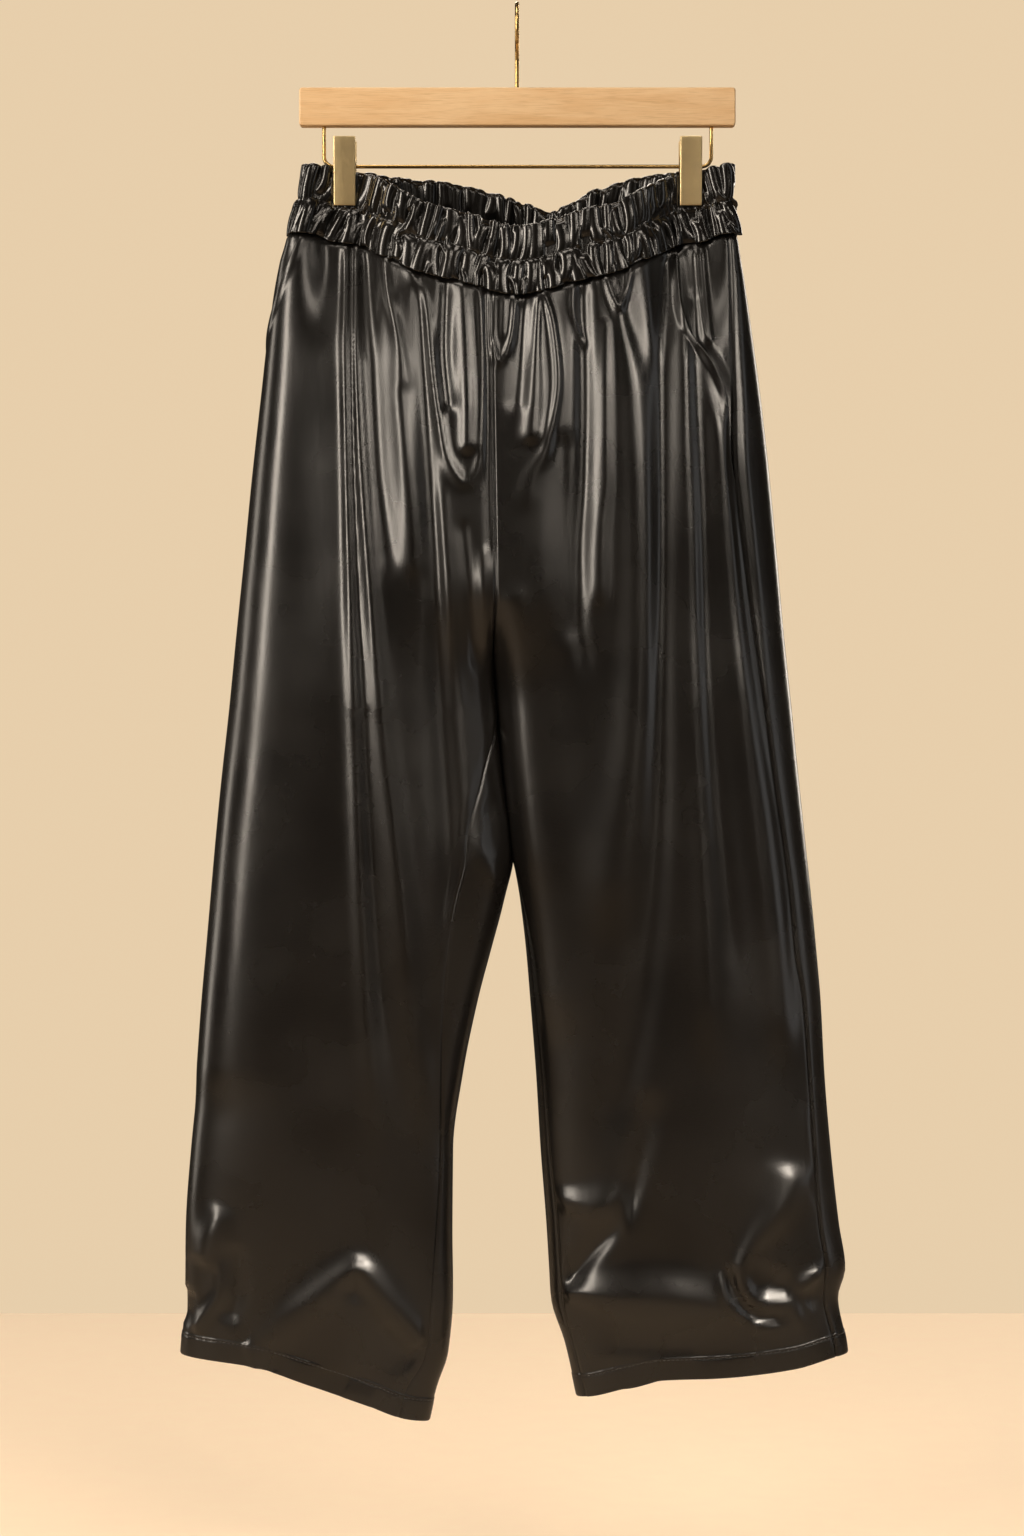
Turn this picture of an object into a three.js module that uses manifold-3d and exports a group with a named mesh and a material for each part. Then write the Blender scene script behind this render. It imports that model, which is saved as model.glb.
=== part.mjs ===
import * as THREE from 'three';
import { mergeVertices } from 'three/addons/utils/BufferGeometryUtils.js';
import Module from 'manifold-3d';

// Wide-leg pull-on trousers in faux leather, hung by two clips from a wooden hanger.
// Millimetres, +Z up. The front faces -Y and the wearer's left is +X.
// The origin is the inner top of the hook, where it bears on its rail.

// Cloth
const CLOTH_WALL = 1.4;
const HEM_WALL = 2.2;
const HEM_HEIGHT = 18;
const HEM_STEP = 1.2;
const SEAM_GAP = 0.4;
const RING_POWER = 2.4;
const CROTCH_Z = -572;
const RISE_BLEND = 110;
const RISE_BLEND_POWER = 1.3;
const FRONT_RISE = { top: -21, crotch: -17, topZ: -240 };
const BACK_RISE = { top: 5, crotch: -17, topZ: -225 };
const SEAM_FADE = 14;
const WAIST_FADE = 26;
const WAIST_FOLD_SHARE = 0.25;

// Waistband
const BAND_HEIGHT = 53;
const BAND_WALL = 2;
const BAND_GATHERS = 124;
const SAMPLES_PER_GATHER = 3;
const BAND_COLUMNS = BAND_GATHERS * SAMPLES_PER_GATHER;
const BAND_INSIDE_COLUMNS = BAND_COLUMNS / 6;
const BAND_SLANT = 6;
const BAND_HALF_WIDTH = 176;
const BAND_LENGTH = 760;
const BAND_RING_Z = -160;
const BAND_ANGLE_STEPS = 720;
const BAND_ROWS = [
  { down: 0, ridge: 1.2, bulge: 0 },
  { down: 0.24, ridge: 2, bulge: 1.2 },
  { down: 0.5, ridge: 0.7, bulge: -0.6 },
  { down: 0.74, ridge: 2.1, bulge: 1.5 },
  { down: 1, ridge: 0.8, bulge: 0 },
];
const BAND_INSIDE_ROWS = [0, 0.5, 1];
const GATHER_PROFILE = [-1, 0.55, 0.75];
const GATHER_HEIGHT = { middle: 0.8, range: 0.2, turn: 2.4, rowTurn: 5 };

// Hanger
const BAR = { left: 177, right: -178, top: -67, bottom: -98, thickness: 12, corner: 3.5, edge: 1.4 };
const WIRE_RADIUS = 1.6;
const WIRE_SIDES = 12;
const WIRE_BEND = 8;
const WIRE_IN_BAR = 12;
const ARM_X = { right: -158, left: 157.5 };
const ROD_Z = -130.5;
const HOOK = { x: -0.8, wireRadius: 1.75, innerRadius: 17, neckRadius: 18, tipAngle: -0.45 };
const FIT = 0.3;
const BEND_STEP = 0.3;

// Clips
const CLIP_X = { right: -141, left: 140.5 };
const CLIP = { width: 18, top: -108, bottom: -163, plate: 1.2, tilt: 6, grip: 5.5 };
const EAR = { wall: 1.8, flare: 2 };
const BACK_JAW_SHIFT = 1.5;
const SPRING = { innerRadius: 2, outerRadius: 3.9, length: 11, sides: 20 };
const PINCH_FLAT = 11;
const PINCH_HALF_WIDTH = 20;
const PINCH_DEPTH = 3.5;
const PINCH_END_Z = -300;
const HELD = { share: 0.5, beyond: 3 };

// Hip sections from the top of the waistband to the crotch: x of each side seen from the front,
// half depths to the front and back, how far each side seam stands in front of the outline.
const HIPS = [
  { z: -130, right: -174, left: 173, front: 30, back: 25, seamRight: -18, seamLeft: 6 },
  { z: -158, right: -179, left: 174, front: 32, back: 27, seamRight: -19, seamLeft: 7 },
  { z: -186, right: -186.5, left: 178.5, front: 34, back: 30, seamRight: -20, seamLeft: 8 },
  { z: -258, right: -200, left: 188.7, front: 42, back: 38, seamRight: -22, seamLeft: 16 },
  { z: -322, right: -206.6, left: 196.8, front: 49, back: 46, seamRight: -25, seamLeft: 23 },
  { z: -387, right: -213, left: 204, front: 54, back: 51, seamRight: -26, seamLeft: 29 },
  { z: -452, right: -218.7, left: 210.6, front: 56, back: 54, seamRight: -25, seamLeft: 28 },
  { z: -517, right: -225, left: 217, front: 55, back: 53, seamRight: -25, seamLeft: 26 },
  { z: -572, right: -230, left: 222.8, front: 52, back: 50, seamRight: -24, seamLeft: 24 },
];

// Leg sections from the crotch to the hem: x of the outer and inner outline, half depth,
// and how far the side seam and the inseam stand in front of that outline.
const LEGS = {
  right: [
    { z: -572, outer: -230, inner: -18.2, depth: 51, side: -24, inseam: 0 },
    { z: -626, outer: -235.7, inner: -12.5, depth: 50, side: -22, inseam: 17 },
    { z: -687, outer: -241.8, inner: -5.4, depth: 49, side: -20, inseam: 38 },
    { z: -727, outer: -245.8, inner: -12, depth: 48, side: -19, inseam: 38 },
    { z: -768, outer: -250, inner: -22.7, depth: 47, side: -18, inseam: 34 },
    { z: -808, outer: -254.3, inner: -33, depth: 46, side: -17, inseam: 27 },
    { z: -869, outer: -260, inner: -45.5, depth: 45, side: -16, inseam: 16 },
    { z: -930, outer: -265.7, inner: -54, depth: 44, side: -15, inseam: 8 },
    { z: -991, outer: -269.7, inner: -54.5, depth: 42, side: -14, inseam: 11 },
    { z: -1051, outer: -270.5, inner: -53.5, depth: 38, side: -12, inseam: 16 },
    { z: -1096, outer: -273.8, inner: -57, depth: 32, side: -11, inseam: 18 },
    { z: -1124, outer: -275, inner: -66.4, depth: 29, side: -10, inseam: 24 },
    { z: -1151, outer: -276, inner: -73, depth: 27, side: -10, inseam: 26 },
  ],
  left: [
    { z: -572, outer: 222.8, inner: -15.8, depth: 51, side: 24, inseam: 0 },
    { z: -626, outer: 228, inner: -10.1, depth: 50, side: 22, inseam: 0 },
    { z: -687, outer: 234, inner: -2.6, depth: 49, side: 19, inseam: 0 },
    { z: -727, outer: 238, inner: 2.4, depth: 48, side: 18, inseam: 1 },
    { z: -768, outer: 241.8, inner: 7.3, depth: 47, side: 18, inseam: 3 },
    { z: -808, outer: 245.4, inner: 10.5, depth: 46, side: 15, inseam: 4 },
    { z: -869, outer: 249, inner: 15, depth: 45, side: 14, inseam: 6 },
    { z: -930, outer: 254.3, inner: 18.6, depth: 44, side: 15, inseam: 7 },
    { z: -991, outer: 260.8, inner: 23.6, depth: 42, side: 17, inseam: 8 },
    { z: -1027, outer: 265.7, inner: 26, depth: 40, side: 17, inseam: 8 },
    { z: -1051, outer: 260, inner: 27.5, depth: 37, side: 12, inseam: 8 },
    { z: -1088, outer: 266.5, inner: 39, depth: 32, side: 10, inseam: 6 },
    { z: -1131, outer: 271, inner: 48.6, depth: 27, side: 10, inseam: 7 },
  ],
};

// Height of the waistband's top edge across the front and across the back.
const BAND_TOP = {
  front: [
    { x: -178, z: -132 }, { x: -164, z: -134 }, { x: -152, z: -138.5 }, { x: -130, z: -142 },
    { x: -109, z: -153 }, { x: -82, z: -167 }, { x: -47, z: -176 }, { x: 0, z: -187 },
    { x: 47, z: -176 }, { x: 82, z: -167 }, { x: 109, z: -153 }, { x: 130, z: -142 },
    { x: 152, z: -138.5 }, { x: 164, z: -134 }, { x: 178, z: -132 },
  ],
  back: [
    { x: -178, z: -132 }, { x: -164, z: -134 }, { x: -152, z: -136.5 }, { x: -128, z: -137.5 },
    { x: -110, z: -138.5 }, { x: -74, z: -141 },
    { x: -43, z: -146 }, { x: -18, z: -152 }, { x: 8, z: -160 }, { x: 26, z: -165 },
    { x: 40, z: -160 }, { x: 54, z: -152 }, { x: 70, z: -146 }, { x: 88, z: -141 },
    { x: 110, z: -138.5 }, { x: 128, z: -137.5 }, { x: 152, z: -136.5 }, { x: 164, z: -134 },
    { x: 178, z: -132 },
  ],
};

// Height of each hem across the front and across the back.
const HEM = {
  right: {
    front: [
      { x: -276, z: -1096 }, { x: -219, z: -1102 }, { x: -170, z: -1117 },
      { x: -121, z: -1135 }, { x: -99, z: -1144.5 }, { x: -73, z: -1151 },
    ],
    back: [
      { x: -276, z: -1096 }, { x: -219, z: -1099 }, { x: -170, z: -1108 },
      { x: -128, z: -1124 }, { x: -99, z: -1144.5 }, { x: -73, z: -1151 },
    ],
  },
  left: {
    front: [
      { x: 48, z: -1131 }, { x: 56, z: -1130 }, { x: 87, z: -1121 }, { x: 117, z: -1114 },
      { x: 165, z: -1112 }, { x: 224, z: -1105 }, { x: 253, z: -1098 }, { x: 271, z: -1095 },
    ],
    back: [
      { x: 48, z: -1131 }, { x: 56, z: -1130 }, { x: 87, z: -1131 }, { x: 117, z: -1125 },
      { x: 165, z: -1114 }, { x: 224, z: -1105 }, { x: 253, z: -1098 }, { x: 271, z: -1095 },
    ],
  },
};

// Pocket mouth: how far its edge lies in front of the side seam, along the cloth.
const MOUTH = [
  { z: -186, ahead: 44 }, { z: -243, ahead: 41 }, { z: -266, ahead: 36 }, { z: -282, ahead: 26 },
  { z: -294, ahead: 18 }, { z: -308, ahead: 11 }, { z: -324, ahead: 6 }, { z: -362, ahead: 3.5 },
  { z: -390, ahead: 0 },
];
const FACING = {
  inset: 1.9, flushAfter: 12, lift: 1.2, liftWidth: 9, underColumns: 2, openColumns: 3, least: 2,
};

// Folds that stand out (+) or sink in (-), each along a path of three points seen from the front.
const FRONT_FOLDS = [
  { x0: -158, z0: -240, x1: -166, z1: -560, x2: -172, z2: -960, width: 17, top: -5, end: -4 },
  { x0: -133, z0: -200, x1: -130, z1: -387, x2: -118, z2: -582, width: 8, top: 4, end: 3 },
  { x0: -120, z0: -215, x1: -117, z1: -330, x2: -112, z2: -470, width: 7, top: -4, end: -1 },
  { x0: -108, z0: -215, x1: -101, z1: -330, x2: -95, z2: -450, width: 9, top: 5, end: 1 },
  { x0: -84, z0: -225, x1: -80, z1: -350, x2: -62, z2: -470, width: 9, top: -6, end: -3 },
  { x0: -66, z0: -235, x1: -60, z1: -330, x2: -43, z2: -392, width: 9, top: 6, end: 5 },
  { x0: -34, z0: -250, x1: -35, z1: -330, x2: -43, z2: -392, width: 7, top: 3, end: 4 },
  { x0: -21, z0: -236, x1: -21, z1: -440, x2: -17, z2: -572, width: 6, top: -4, end: -5 },
  { x0: -8, z0: -240, x1: -9, z1: -400, x2: -10, z2: -540, width: 8, top: 3, end: 3 },
  { x0: 12, z0: -245, x1: 12, z1: -330, x2: 10, z2: -395, width: 10, top: -3, end: -2 },
  { x0: 30, z0: -250, x1: 28, z1: -350, x2: 10, z2: -407, width: 9, top: 5, end: 5 },
  { x0: 46, z0: -240, x1: 44, z1: -340, x2: 42, z2: -500, width: 9, top: -5, end: -3 },
  { x0: 66, z0: -235, x1: 62, z1: -380, x2: 52, z2: -520, width: 9, top: 5, end: 4 },
  { x0: 86, z0: -225, x1: 90, z1: -420, x2: 92, z2: -660, width: 15, top: 5, end: 4 },
  { x0: 110, z0: -215, x1: 113, z1: -470, x2: 118, z2: -800, width: 12, top: -7, end: -4 },
  { x0: 134, z0: -205, x1: 138, z1: -320, x2: 146, z2: -460, width: 11, top: 5, end: 2 },
  { x0: -70, z0: -520, x1: -84, z1: -700, x2: -88, z2: -960, width: 13, top: -4, end: -3 },
  { x0: -122, z0: -640, x1: -128, z1: -800, x2: -132, z2: -1000, width: 20, top: 4, end: 4 },
  { x0: 150, z0: -640, x1: 158, z1: -800, x2: 160, z2: -940, width: 18, top: 4, end: 4 },
  { x0: -212, z0: -1086, x1: -170, z1: -1052, x2: -131, z2: -1022, width: 11, top: 4, end: 8 },
  { x0: -131, z0: -1022, x1: -101, z1: -1052, x2: -74, z2: -1084, width: 10, top: 8, end: 5 },
  { x0: -132, z0: -1128, x1: -132, z1: -1092, x2: -131, z2: -1058, width: 18, top: -3, end: -6 },
  { x0: -262, z0: -1000, x1: -250, z1: -1040, x2: -246, z2: -1078, width: 12, top: -4, end: -6 },
  { x0: 38, z0: -1045, x1: 105, z1: -1048, x2: 172, z2: -1043, width: 11, top: 7, end: 5 },
  { x0: 45, z0: -1012, x1: 90, z1: -1018, x2: 150, z2: -1012, width: 13, top: -5, end: -3 },
  { x0: 70, z0: -1086, x1: 120, z1: -1082, x2: 170, z2: -1080, width: 14, top: -4, end: -3 },
  { x0: 196, z0: -962, x1: 178, z1: -1000, x2: 176, z2: -1028, width: 9, top: 3, end: 7 },
  { x0: 176, z0: -1028, x1: 192, z1: -1052, x2: 224, z2: -1056, width: 9, top: 7, end: 6 },
  { x0: 214, z0: -1000, x1: 205, z1: -1020, x2: 204, z2: -1036, width: 12, top: -4, end: -6 },
];
const BACK_FOLDS = [
  { x0: -150, z0: -215, x1: -158, z1: -520, x2: -166, z2: -900, width: 17, top: 5, end: 3 },
  { x0: -120, z0: -210, x1: -116, z1: -360, x2: -110, z2: -560, width: 10, top: -5, end: -2 },
  { x0: -88, z0: -210, x1: -84, z1: -330, x2: -70, z2: -450, width: 11, top: 5, end: 3 },
  { x0: -52, z0: -215, x1: -50, z1: -340, x2: -36, z2: -440, width: 9, top: -4, end: -2 },
  { x0: -22, z0: -220, x1: -24, z1: -330, x2: -14, z2: -420, width: 10, top: 5, end: 4 },
  { x0: 5, z0: -222, x1: -3, z1: -440, x2: -17, z2: -572, width: 7, top: -4, end: -5 },
  { x0: 34, z0: -222, x1: 30, z1: -330, x2: 16, z2: -430, width: 10, top: 5, end: 4 },
  { x0: 66, z0: -214, x1: 64, z1: -360, x2: 56, z2: -500, width: 10, top: -5, end: -3 },
  { x0: 96, z0: -208, x1: 100, z1: -420, x2: 104, z2: -680, width: 15, top: 6, end: 4 },
  { x0: 128, z0: -205, x1: 132, z1: -400, x2: 140, z2: -640, width: 12, top: -6, end: -3 },
  { x0: 166, z0: -230, x1: 176, z1: -460, x2: 184, z2: -820, width: 15, top: 4, end: 3 },
  { x0: -96, z0: -620, x1: -104, z1: -780, x2: -112, z2: -980, width: 17, top: -5, end: -4 },
  { x0: 70, z0: -620, x1: 84, z1: -800, x2: 92, z2: -980, width: 16, top: -5, end: -4 },
  { x0: -230, z0: -1062, x1: -180, z1: -1040, x2: -140, z2: -1012, width: 12, top: 4, end: 7 },
  { x0: -140, z0: -1012, x1: -112, z1: -1044, x2: -90, z2: -1082, width: 11, top: 7, end: 4 },
  { x0: 70, z0: -1052, x1: 130, z1: -1044, x2: 190, z2: -1056, width: 11, top: 6, end: 5 },
  { x0: 190, z0: -1056, x1: 214, z1: -1030, x2: 222, z2: -990, width: 10, top: 5, end: 3 },
];

// Grids: columns round a panel, and rows down its rise and its leg.
const PANEL_GRID = { front: 23, back: 18, riseRows: 12, legRows: 12 };
const ROW_CROWDING = 1.25;
const RISE_EDGE = 4;
const ARC_STEPS = 48;
const SLOPE_STEP = { u: 0.004, z: 1 };
const ANGLE_STEP = 0.01;
const SETTLE_STEPS = 5;
const CURVE_STEPS = 5;
const CUT_OVERRUN = 5;
const MERGE_DISTANCE = 1e-4;
const WAIST_GAP = 1;

const COLOURS = {
  leather: { color: 0x262320, roughness: 0.34, metalness: 0 },
  wood: { color: 0xe2b57c, roughness: 0.5, metalness: 0 },
  brass: { color: 0xbf9b58, roughness: 0.3, metalness: 1 },
};

const wasm = await Module();
wasm.setup();

const lerp = THREE.MathUtils.lerp;
const smooth = THREE.MathUtils.smoothstep;

// Reads a table between its rows along one column, on a curve that doesn't overshoot its rows.
function read(table, key, value) {
  const down = table[0][key] > table[table.length - 1][key];
  const past = (row) => (down ? row[key] <= value : row[key] >= value);
  const found = table.findIndex(past);
  const next = Math.max(1, found < 0 ? table.length - 1 : found);
  const [before, from, to, after] = [next - 2, next - 1, next, next + 1].map(
    (i) => table[THREE.MathUtils.clamp(i, 0, table.length - 1)],
  );
  const span = to[key] - from[key];
  const t = THREE.MathUtils.clamp((value - from[key]) / span, 0, 1);
  const result = {};
  for (const name of Object.keys(from)) {
    const slopeHere = (to[name] - from[name]) / span;
    const slopeBefore = before === from ? slopeHere : (from[name] - before[name]) / (from[key] - before[key]);
    const slopeAfter = after === to ? slopeHere : (after[name] - to[name]) / (after[key] - to[key]);
    const slopeFrom = slopeHere * slopeBefore > 0 ? 2 / (1 / slopeHere + 1 / slopeBefore) : 0;
    const slopeTo = slopeHere * slopeAfter > 0 ? 2 / (1 / slopeHere + 1 / slopeAfter) : 0;
    const square = t * t;
    const cube = square * t;
    result[name] = (2 * cube - 3 * square + 1) * from[name] + (cube - 2 * square + t) * span * slopeFrom
      + (3 * square - 2 * cube) * to[name] + (cube - square) * span * slopeTo;
  }
  return result;
}

const rounded = (value) => Math.sign(value) * Math.abs(value) ** (2 / RING_POWER);
const angleOf = (share) => {
  const cosine = Math.sign(share) * Math.abs(share) ** (RING_POWER / 2);
  return Math.acos(THREE.MathUtils.clamp(cosine, -1, 1));
};
const seamAngle = (ahead, halfWidth) => Math.sign(ahead) * angleOf(1 - Math.abs(ahead) / halfWidth);
const riseX = (rise, z) => lerp(rise.top, rise.crotch, smooth(-z, -rise.topZ, -CROTCH_Z));

// The clips press front and back together; the pinch fades out down the hips.
function pinched(point) {
  const clipX = point.x < 0 ? CLIP_X.right : CLIP_X.left;
  const beyond = Math.max(0, Math.abs(point.x - clipX) - PINCH_FLAT);
  const near = Math.exp(-((beyond / PINCH_HALF_WIDTH) ** 2));
  const share = near * (1 - smooth(-point.z, -CLIP.bottom, -PINCH_END_Z));
  point.y = lerp(point.y, Math.sign(point.y) * Math.min(Math.abs(point.y), PINCH_DEPTH), share);
  return point;
}

// A point of the ring round the hips. Angle 0 is the wearer's left and a quarter turn the front.
function hipPoint(angle, z) {
  const hips = read(HIPS, 'z', z);
  const middle = (hips.left + hips.right) / 2;
  const halfWidth = (hips.left - hips.right) / 2;
  const sine = rounded(Math.sin(angle));
  const depth = sine > 0 ? hips.front : hips.back;
  return pinched(new THREE.Vector3(middle + halfWidth * rounded(Math.cos(angle)), -depth * sine, z));
}

// Angles of the ring round the hips between which a panel lies, from the rise to the side seam.
function hipSpan(side, face, z) {
  const hips = read(HIPS, 'z', z);
  const middle = (hips.left + hips.right) / 2;
  const halfWidth = (hips.left - hips.right) / 2;
  const rise = angleOf((riseX(face === 'front' ? FRONT_RISE : BACK_RISE, z) - middle) / halfWidth);
  const seamLeft = seamAngle(hips.seamLeft, halfWidth);
  const seamRight = Math.PI - seamAngle(hips.seamRight, halfWidth);
  if (face === 'front') {
    return side === 'left' ? [rise, seamLeft] : [rise, seamRight];
  }
  return side === 'left' ? [-rise, seamLeft] : [2 * Math.PI - rise, seamRight];
}

// A point of the ring round one leg. Angle 0 is the inner side and a quarter turn the front.
function legPoint(side, angle, z) {
  const leg = read(LEGS[side], 'z', z);
  const middle = (leg.outer + leg.inner) / 2;
  return new THREE.Vector3(
    middle + (leg.inner - middle) * rounded(Math.cos(angle)),
    -leg.depth * rounded(Math.sin(angle)),
    z,
  );
}

function legSpan(side, face, z) {
  const leg = read(LEGS[side], 'z', z);
  const halfWidth = Math.abs(leg.outer - leg.inner) / 2;
  const inseam = seamAngle(leg.inseam, halfWidth);
  const sideSeam = Math.PI - seamAngle(leg.side, halfWidth);
  return face === 'front' ? [inseam, sideSeam] : [inseam, sideSeam - 2 * Math.PI];
}

// Finds a place on an arc of a ring. placeOf turns the arc's length into a distance from its
// start. One step past each end is sampled too, so that a slope can be read at the ends.
function alongArc(pointAt, [start, end], placeOf) {
  const points = [];
  const lengths = [];
  for (let i = -1; i <= ARC_STEPS + 1; i += 1) {
    points.push(pointAt(lerp(start, end, i / ARC_STEPS)));
    lengths.push(i < 0 ? 0 : lengths.at(-1) + points.at(-1).distanceTo(points.at(-2)));
  }
  const total = lengths[ARC_STEPS + 1] - lengths[1];
  const place = placeOf(total);
  const found = lengths.findIndex((length) => length - lengths[1] >= place);
  const next = found < 1 ? 1 : found;
  const t = (place + lengths[1] - lengths[next - 1]) / (lengths[next] - lengths[next - 1]);
  return { point: points[next - 1].clone().lerp(points[next], t), fromStart: place, toEnd: total - place };
}

const mouthAhead = (z) => (z < MOUTH.at(-1).z ? 0 : read(MOUTH, 'z', z).ahead);

// A place on the panels' middle surface before its folds. Across a panel u runs from 0 at the
// rise or inseam to 1 at the side seam. A front panel ends at its pocket mouth instead, and there
// u runs on from 1 to 2 over the facing that shows between the mouth and the side seam.
function panelPlace(side, face, u, z) {
  const ahead = face === 'front' ? mouthAhead(z) : 0;
  const inset = SEAM_GAP / 2;
  const placeOf = (total) => (u <= 1
    ? lerp(inset, total - inset - ahead, u)
    : lerp(total - inset - ahead, total - inset, u - 1));
  const blend = smooth(-z, -CROTCH_Z - RISE_BLEND, -CROTCH_Z) ** RISE_BLEND_POWER;
  const legZ = Math.min(z, CROTCH_Z);
  const leg = alongArc((a) => legPoint(side, a, legZ), legSpan(side, face, legZ), placeOf);
  leg.point.z = z;
  if (blend >= 1) {
    return { ...leg, blend };
  }
  const hip = alongArc((a) => hipPoint(a, z), hipSpan(side, face, z), placeOf);
  return {
    point: hip.point.lerp(leg.point, blend),
    fromStart: lerp(hip.fromStart, leg.fromStart, blend),
    toEnd: lerp(hip.toEnd, leg.toEnd, blend),
    blend,
  };
}

// Sum of the folds at a place seen from the front.
function foldHeight(folds, x, z) {
  let height = 0;
  for (const fold of folds) {
    const path = [[fold.x0, fold.z0], [fold.x1, fold.z1], [fold.x2, fold.z2]];
    let nearest = Infinity;
    let along = 0;
    for (let i = 0; i < 2; i += 1) {
      const [ax, az] = path[i];
      const [bx, bz] = path[i + 1];
      const square = (bx - ax) ** 2 + (bz - az) ** 2;
      const t = THREE.MathUtils.clamp(((x - ax) * (bx - ax) + (z - az) * (bz - az)) / square, 0, 1);
      const distance = Math.hypot(x - lerp(ax, bx, t), z - lerp(az, bz, t));
      if (distance < nearest) {
        nearest = distance;
        along = (i + t) / 2;
      }
    }
    height += lerp(fold.top, fold.end, along) * Math.exp(-((nearest / fold.width) ** 2));
  }
  return height;
}

const waistSeam = (face, x) => read(BAND_TOP[face], 'x', x).z - BAND_HEIGHT;
const hemZ = (side, face, x) => read(HEM[side][face], 'x', x).z;

// How much of the folds shows at a place: less towards the waist seam, side seam and inseam.
function foldShare(face, place) {
  const belowWaist = waistSeam(face, place.point.x) - place.point.z;
  const atWaist = lerp(WAIST_FOLD_SHARE, 1, smooth(belowWaist, 0, WAIST_FADE));
  const atSide = smooth(place.toEnd, 0, SEAM_FADE);
  const atInside = lerp(1, smooth(place.fromStart, 0, SEAM_FADE), place.blend);
  return atWaist * atSide * atInside;
}

function outward(side, face, u, z) {
  const du = panelPlace(side, face, u + SLOPE_STEP.u, z).point;
  du.sub(panelPlace(side, face, u - SLOPE_STEP.u, z).point);
  const dz = panelPlace(side, face, u, z + SLOPE_STEP.z).point;
  dz.sub(panelPlace(side, face, u, z - SLOPE_STEP.z).point);
  const turned = (side === 'left') === (face === 'front') ? 1 : -1;
  return du.cross(dz).normalize().multiplyScalar(turned);
}

// The middle surface with its folds, and the direction out of it. At the rise that direction stays
// in the middle plane, so that the two sides meet without crossing.
function panelSurface(side, face, u, z) {
  const place = panelPlace(side, face, u, z);
  const normal = outward(side, face, u, z);
  normal.x *= lerp(smooth(place.fromStart, 0, RISE_EDGE), 1, place.blend);
  normal.normalize();
  const folds = face === 'front' ? FRONT_FOLDS : BACK_FOLDS;
  const height = foldHeight(folds, place.point.x, z) * foldShare(face, place);
  return { ...place, point: place.point.addScaledVector(normal, height), normal };
}

// Closes a wall between an outer and an inner grid of points into one solid.
function wallGeometry(outer, inner) {
  const rows = outer.length;
  const columns = outer[0].length;
  const points = [...outer.flat(), ...inner.flat()];
  const innerStart = rows * columns;
  const index = [];
  const quad = (a, b, c, d) => index.push(a, b, c, a, c, d);
  const at = (row, column) => row * columns + column;
  for (let r = 0; r < rows - 1; r += 1) {
    for (let c = 0; c < columns - 1; c += 1) {
      quad(at(r, c), at(r, c + 1), at(r + 1, c + 1), at(r + 1, c));
      const [a, b] = [innerStart + at(r, c), innerStart + at(r + 1, c)];
      quad(a, b, b + 1, a + 1);
    }
  }
  const rim = [];
  for (let c = 0; c < columns - 1; c += 1) {
    rim.push(at(0, c));
  }
  for (let r = 0; r < rows - 1; r += 1) {
    rim.push(at(r, columns - 1));
  }
  for (let c = columns - 1; c > 0; c -= 1) {
    rim.push(at(rows - 1, c));
  }
  for (let r = rows - 1; r > 0; r -= 1) {
    rim.push(at(r, 0));
  }
  rim.forEach((here, i) => {
    const next = rim[(i + 1) % rim.length];
    quad(here, innerStart + here, innerStart + next, next);
  });
  return closedGeometry(points, index);
}

// Makes a geometry from shared points, with its faces turned outwards.
function closedGeometry(points, index) {
  let volume = 0;
  for (let i = 0; i < index.length; i += 3) {
    const [a, b, c] = [points[index[i]], points[index[i + 1]], points[index[i + 2]]];
    volume += a.dot(b.clone().cross(c));
  }
  const faces = volume < 0 ? index.map((_, i) => index[i - (i % 3) + [0, 2, 1][i % 3]]) : index;
  const geometry = new THREE.BufferGeometry();
  geometry.setFromPoints(points);
  geometry.setIndex(faces);
  return geometry;
}

// Rows down a panel, the same on the front and the back so that their seams meet.
function panelRows() {
  const rows = [];
  for (let i = 0; i < PANEL_GRID.riseRows; i += 1) {
    rows.push({ rise: (i / PANEL_GRID.riseRows) ** ROW_CROWDING, wall: CLOTH_WALL });
  }
  for (let i = 0; i <= PANEL_GRID.legRows; i += 1) {
    rows.push({ leg: i / PANEL_GRID.legRows, wall: CLOTH_WALL });
  }
  rows.push({ hem: HEM_HEIGHT - HEM_STEP, wall: HEM_WALL });
  rows.push({ hem: 0, wall: HEM_WALL });
  return rows;
}

// Height of a row where it crosses u, found by stepping towards the seam and hem above and below it.
function rowHeight(side, face, row, u) {
  if (row.rise !== undefined) {
    let z = BAND_RING_Z - BAND_HEIGHT;
    for (let i = 0; i < SETTLE_STEPS; i += 1) {
      const top = waistSeam(face, panelPlace(side, face, u, z).point.x) - WAIST_GAP;
      z = lerp(top, CROTCH_Z, row.rise);
    }
    return z;
  }
  let hem = HEM[side][face][0].z;
  for (let i = 0; i < SETTLE_STEPS; i += 1) {
    hem = hemZ(side, face, panelPlace(side, face, u, hem).point.x);
  }
  return row.leg === undefined ? hem + row.hem : lerp(CROTCH_Z, hem + HEM_HEIGHT, row.leg);
}

function offsetPoint({ point, normal }, distance) {
  return point.clone().addScaledVector(normal, distance);
}

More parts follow.
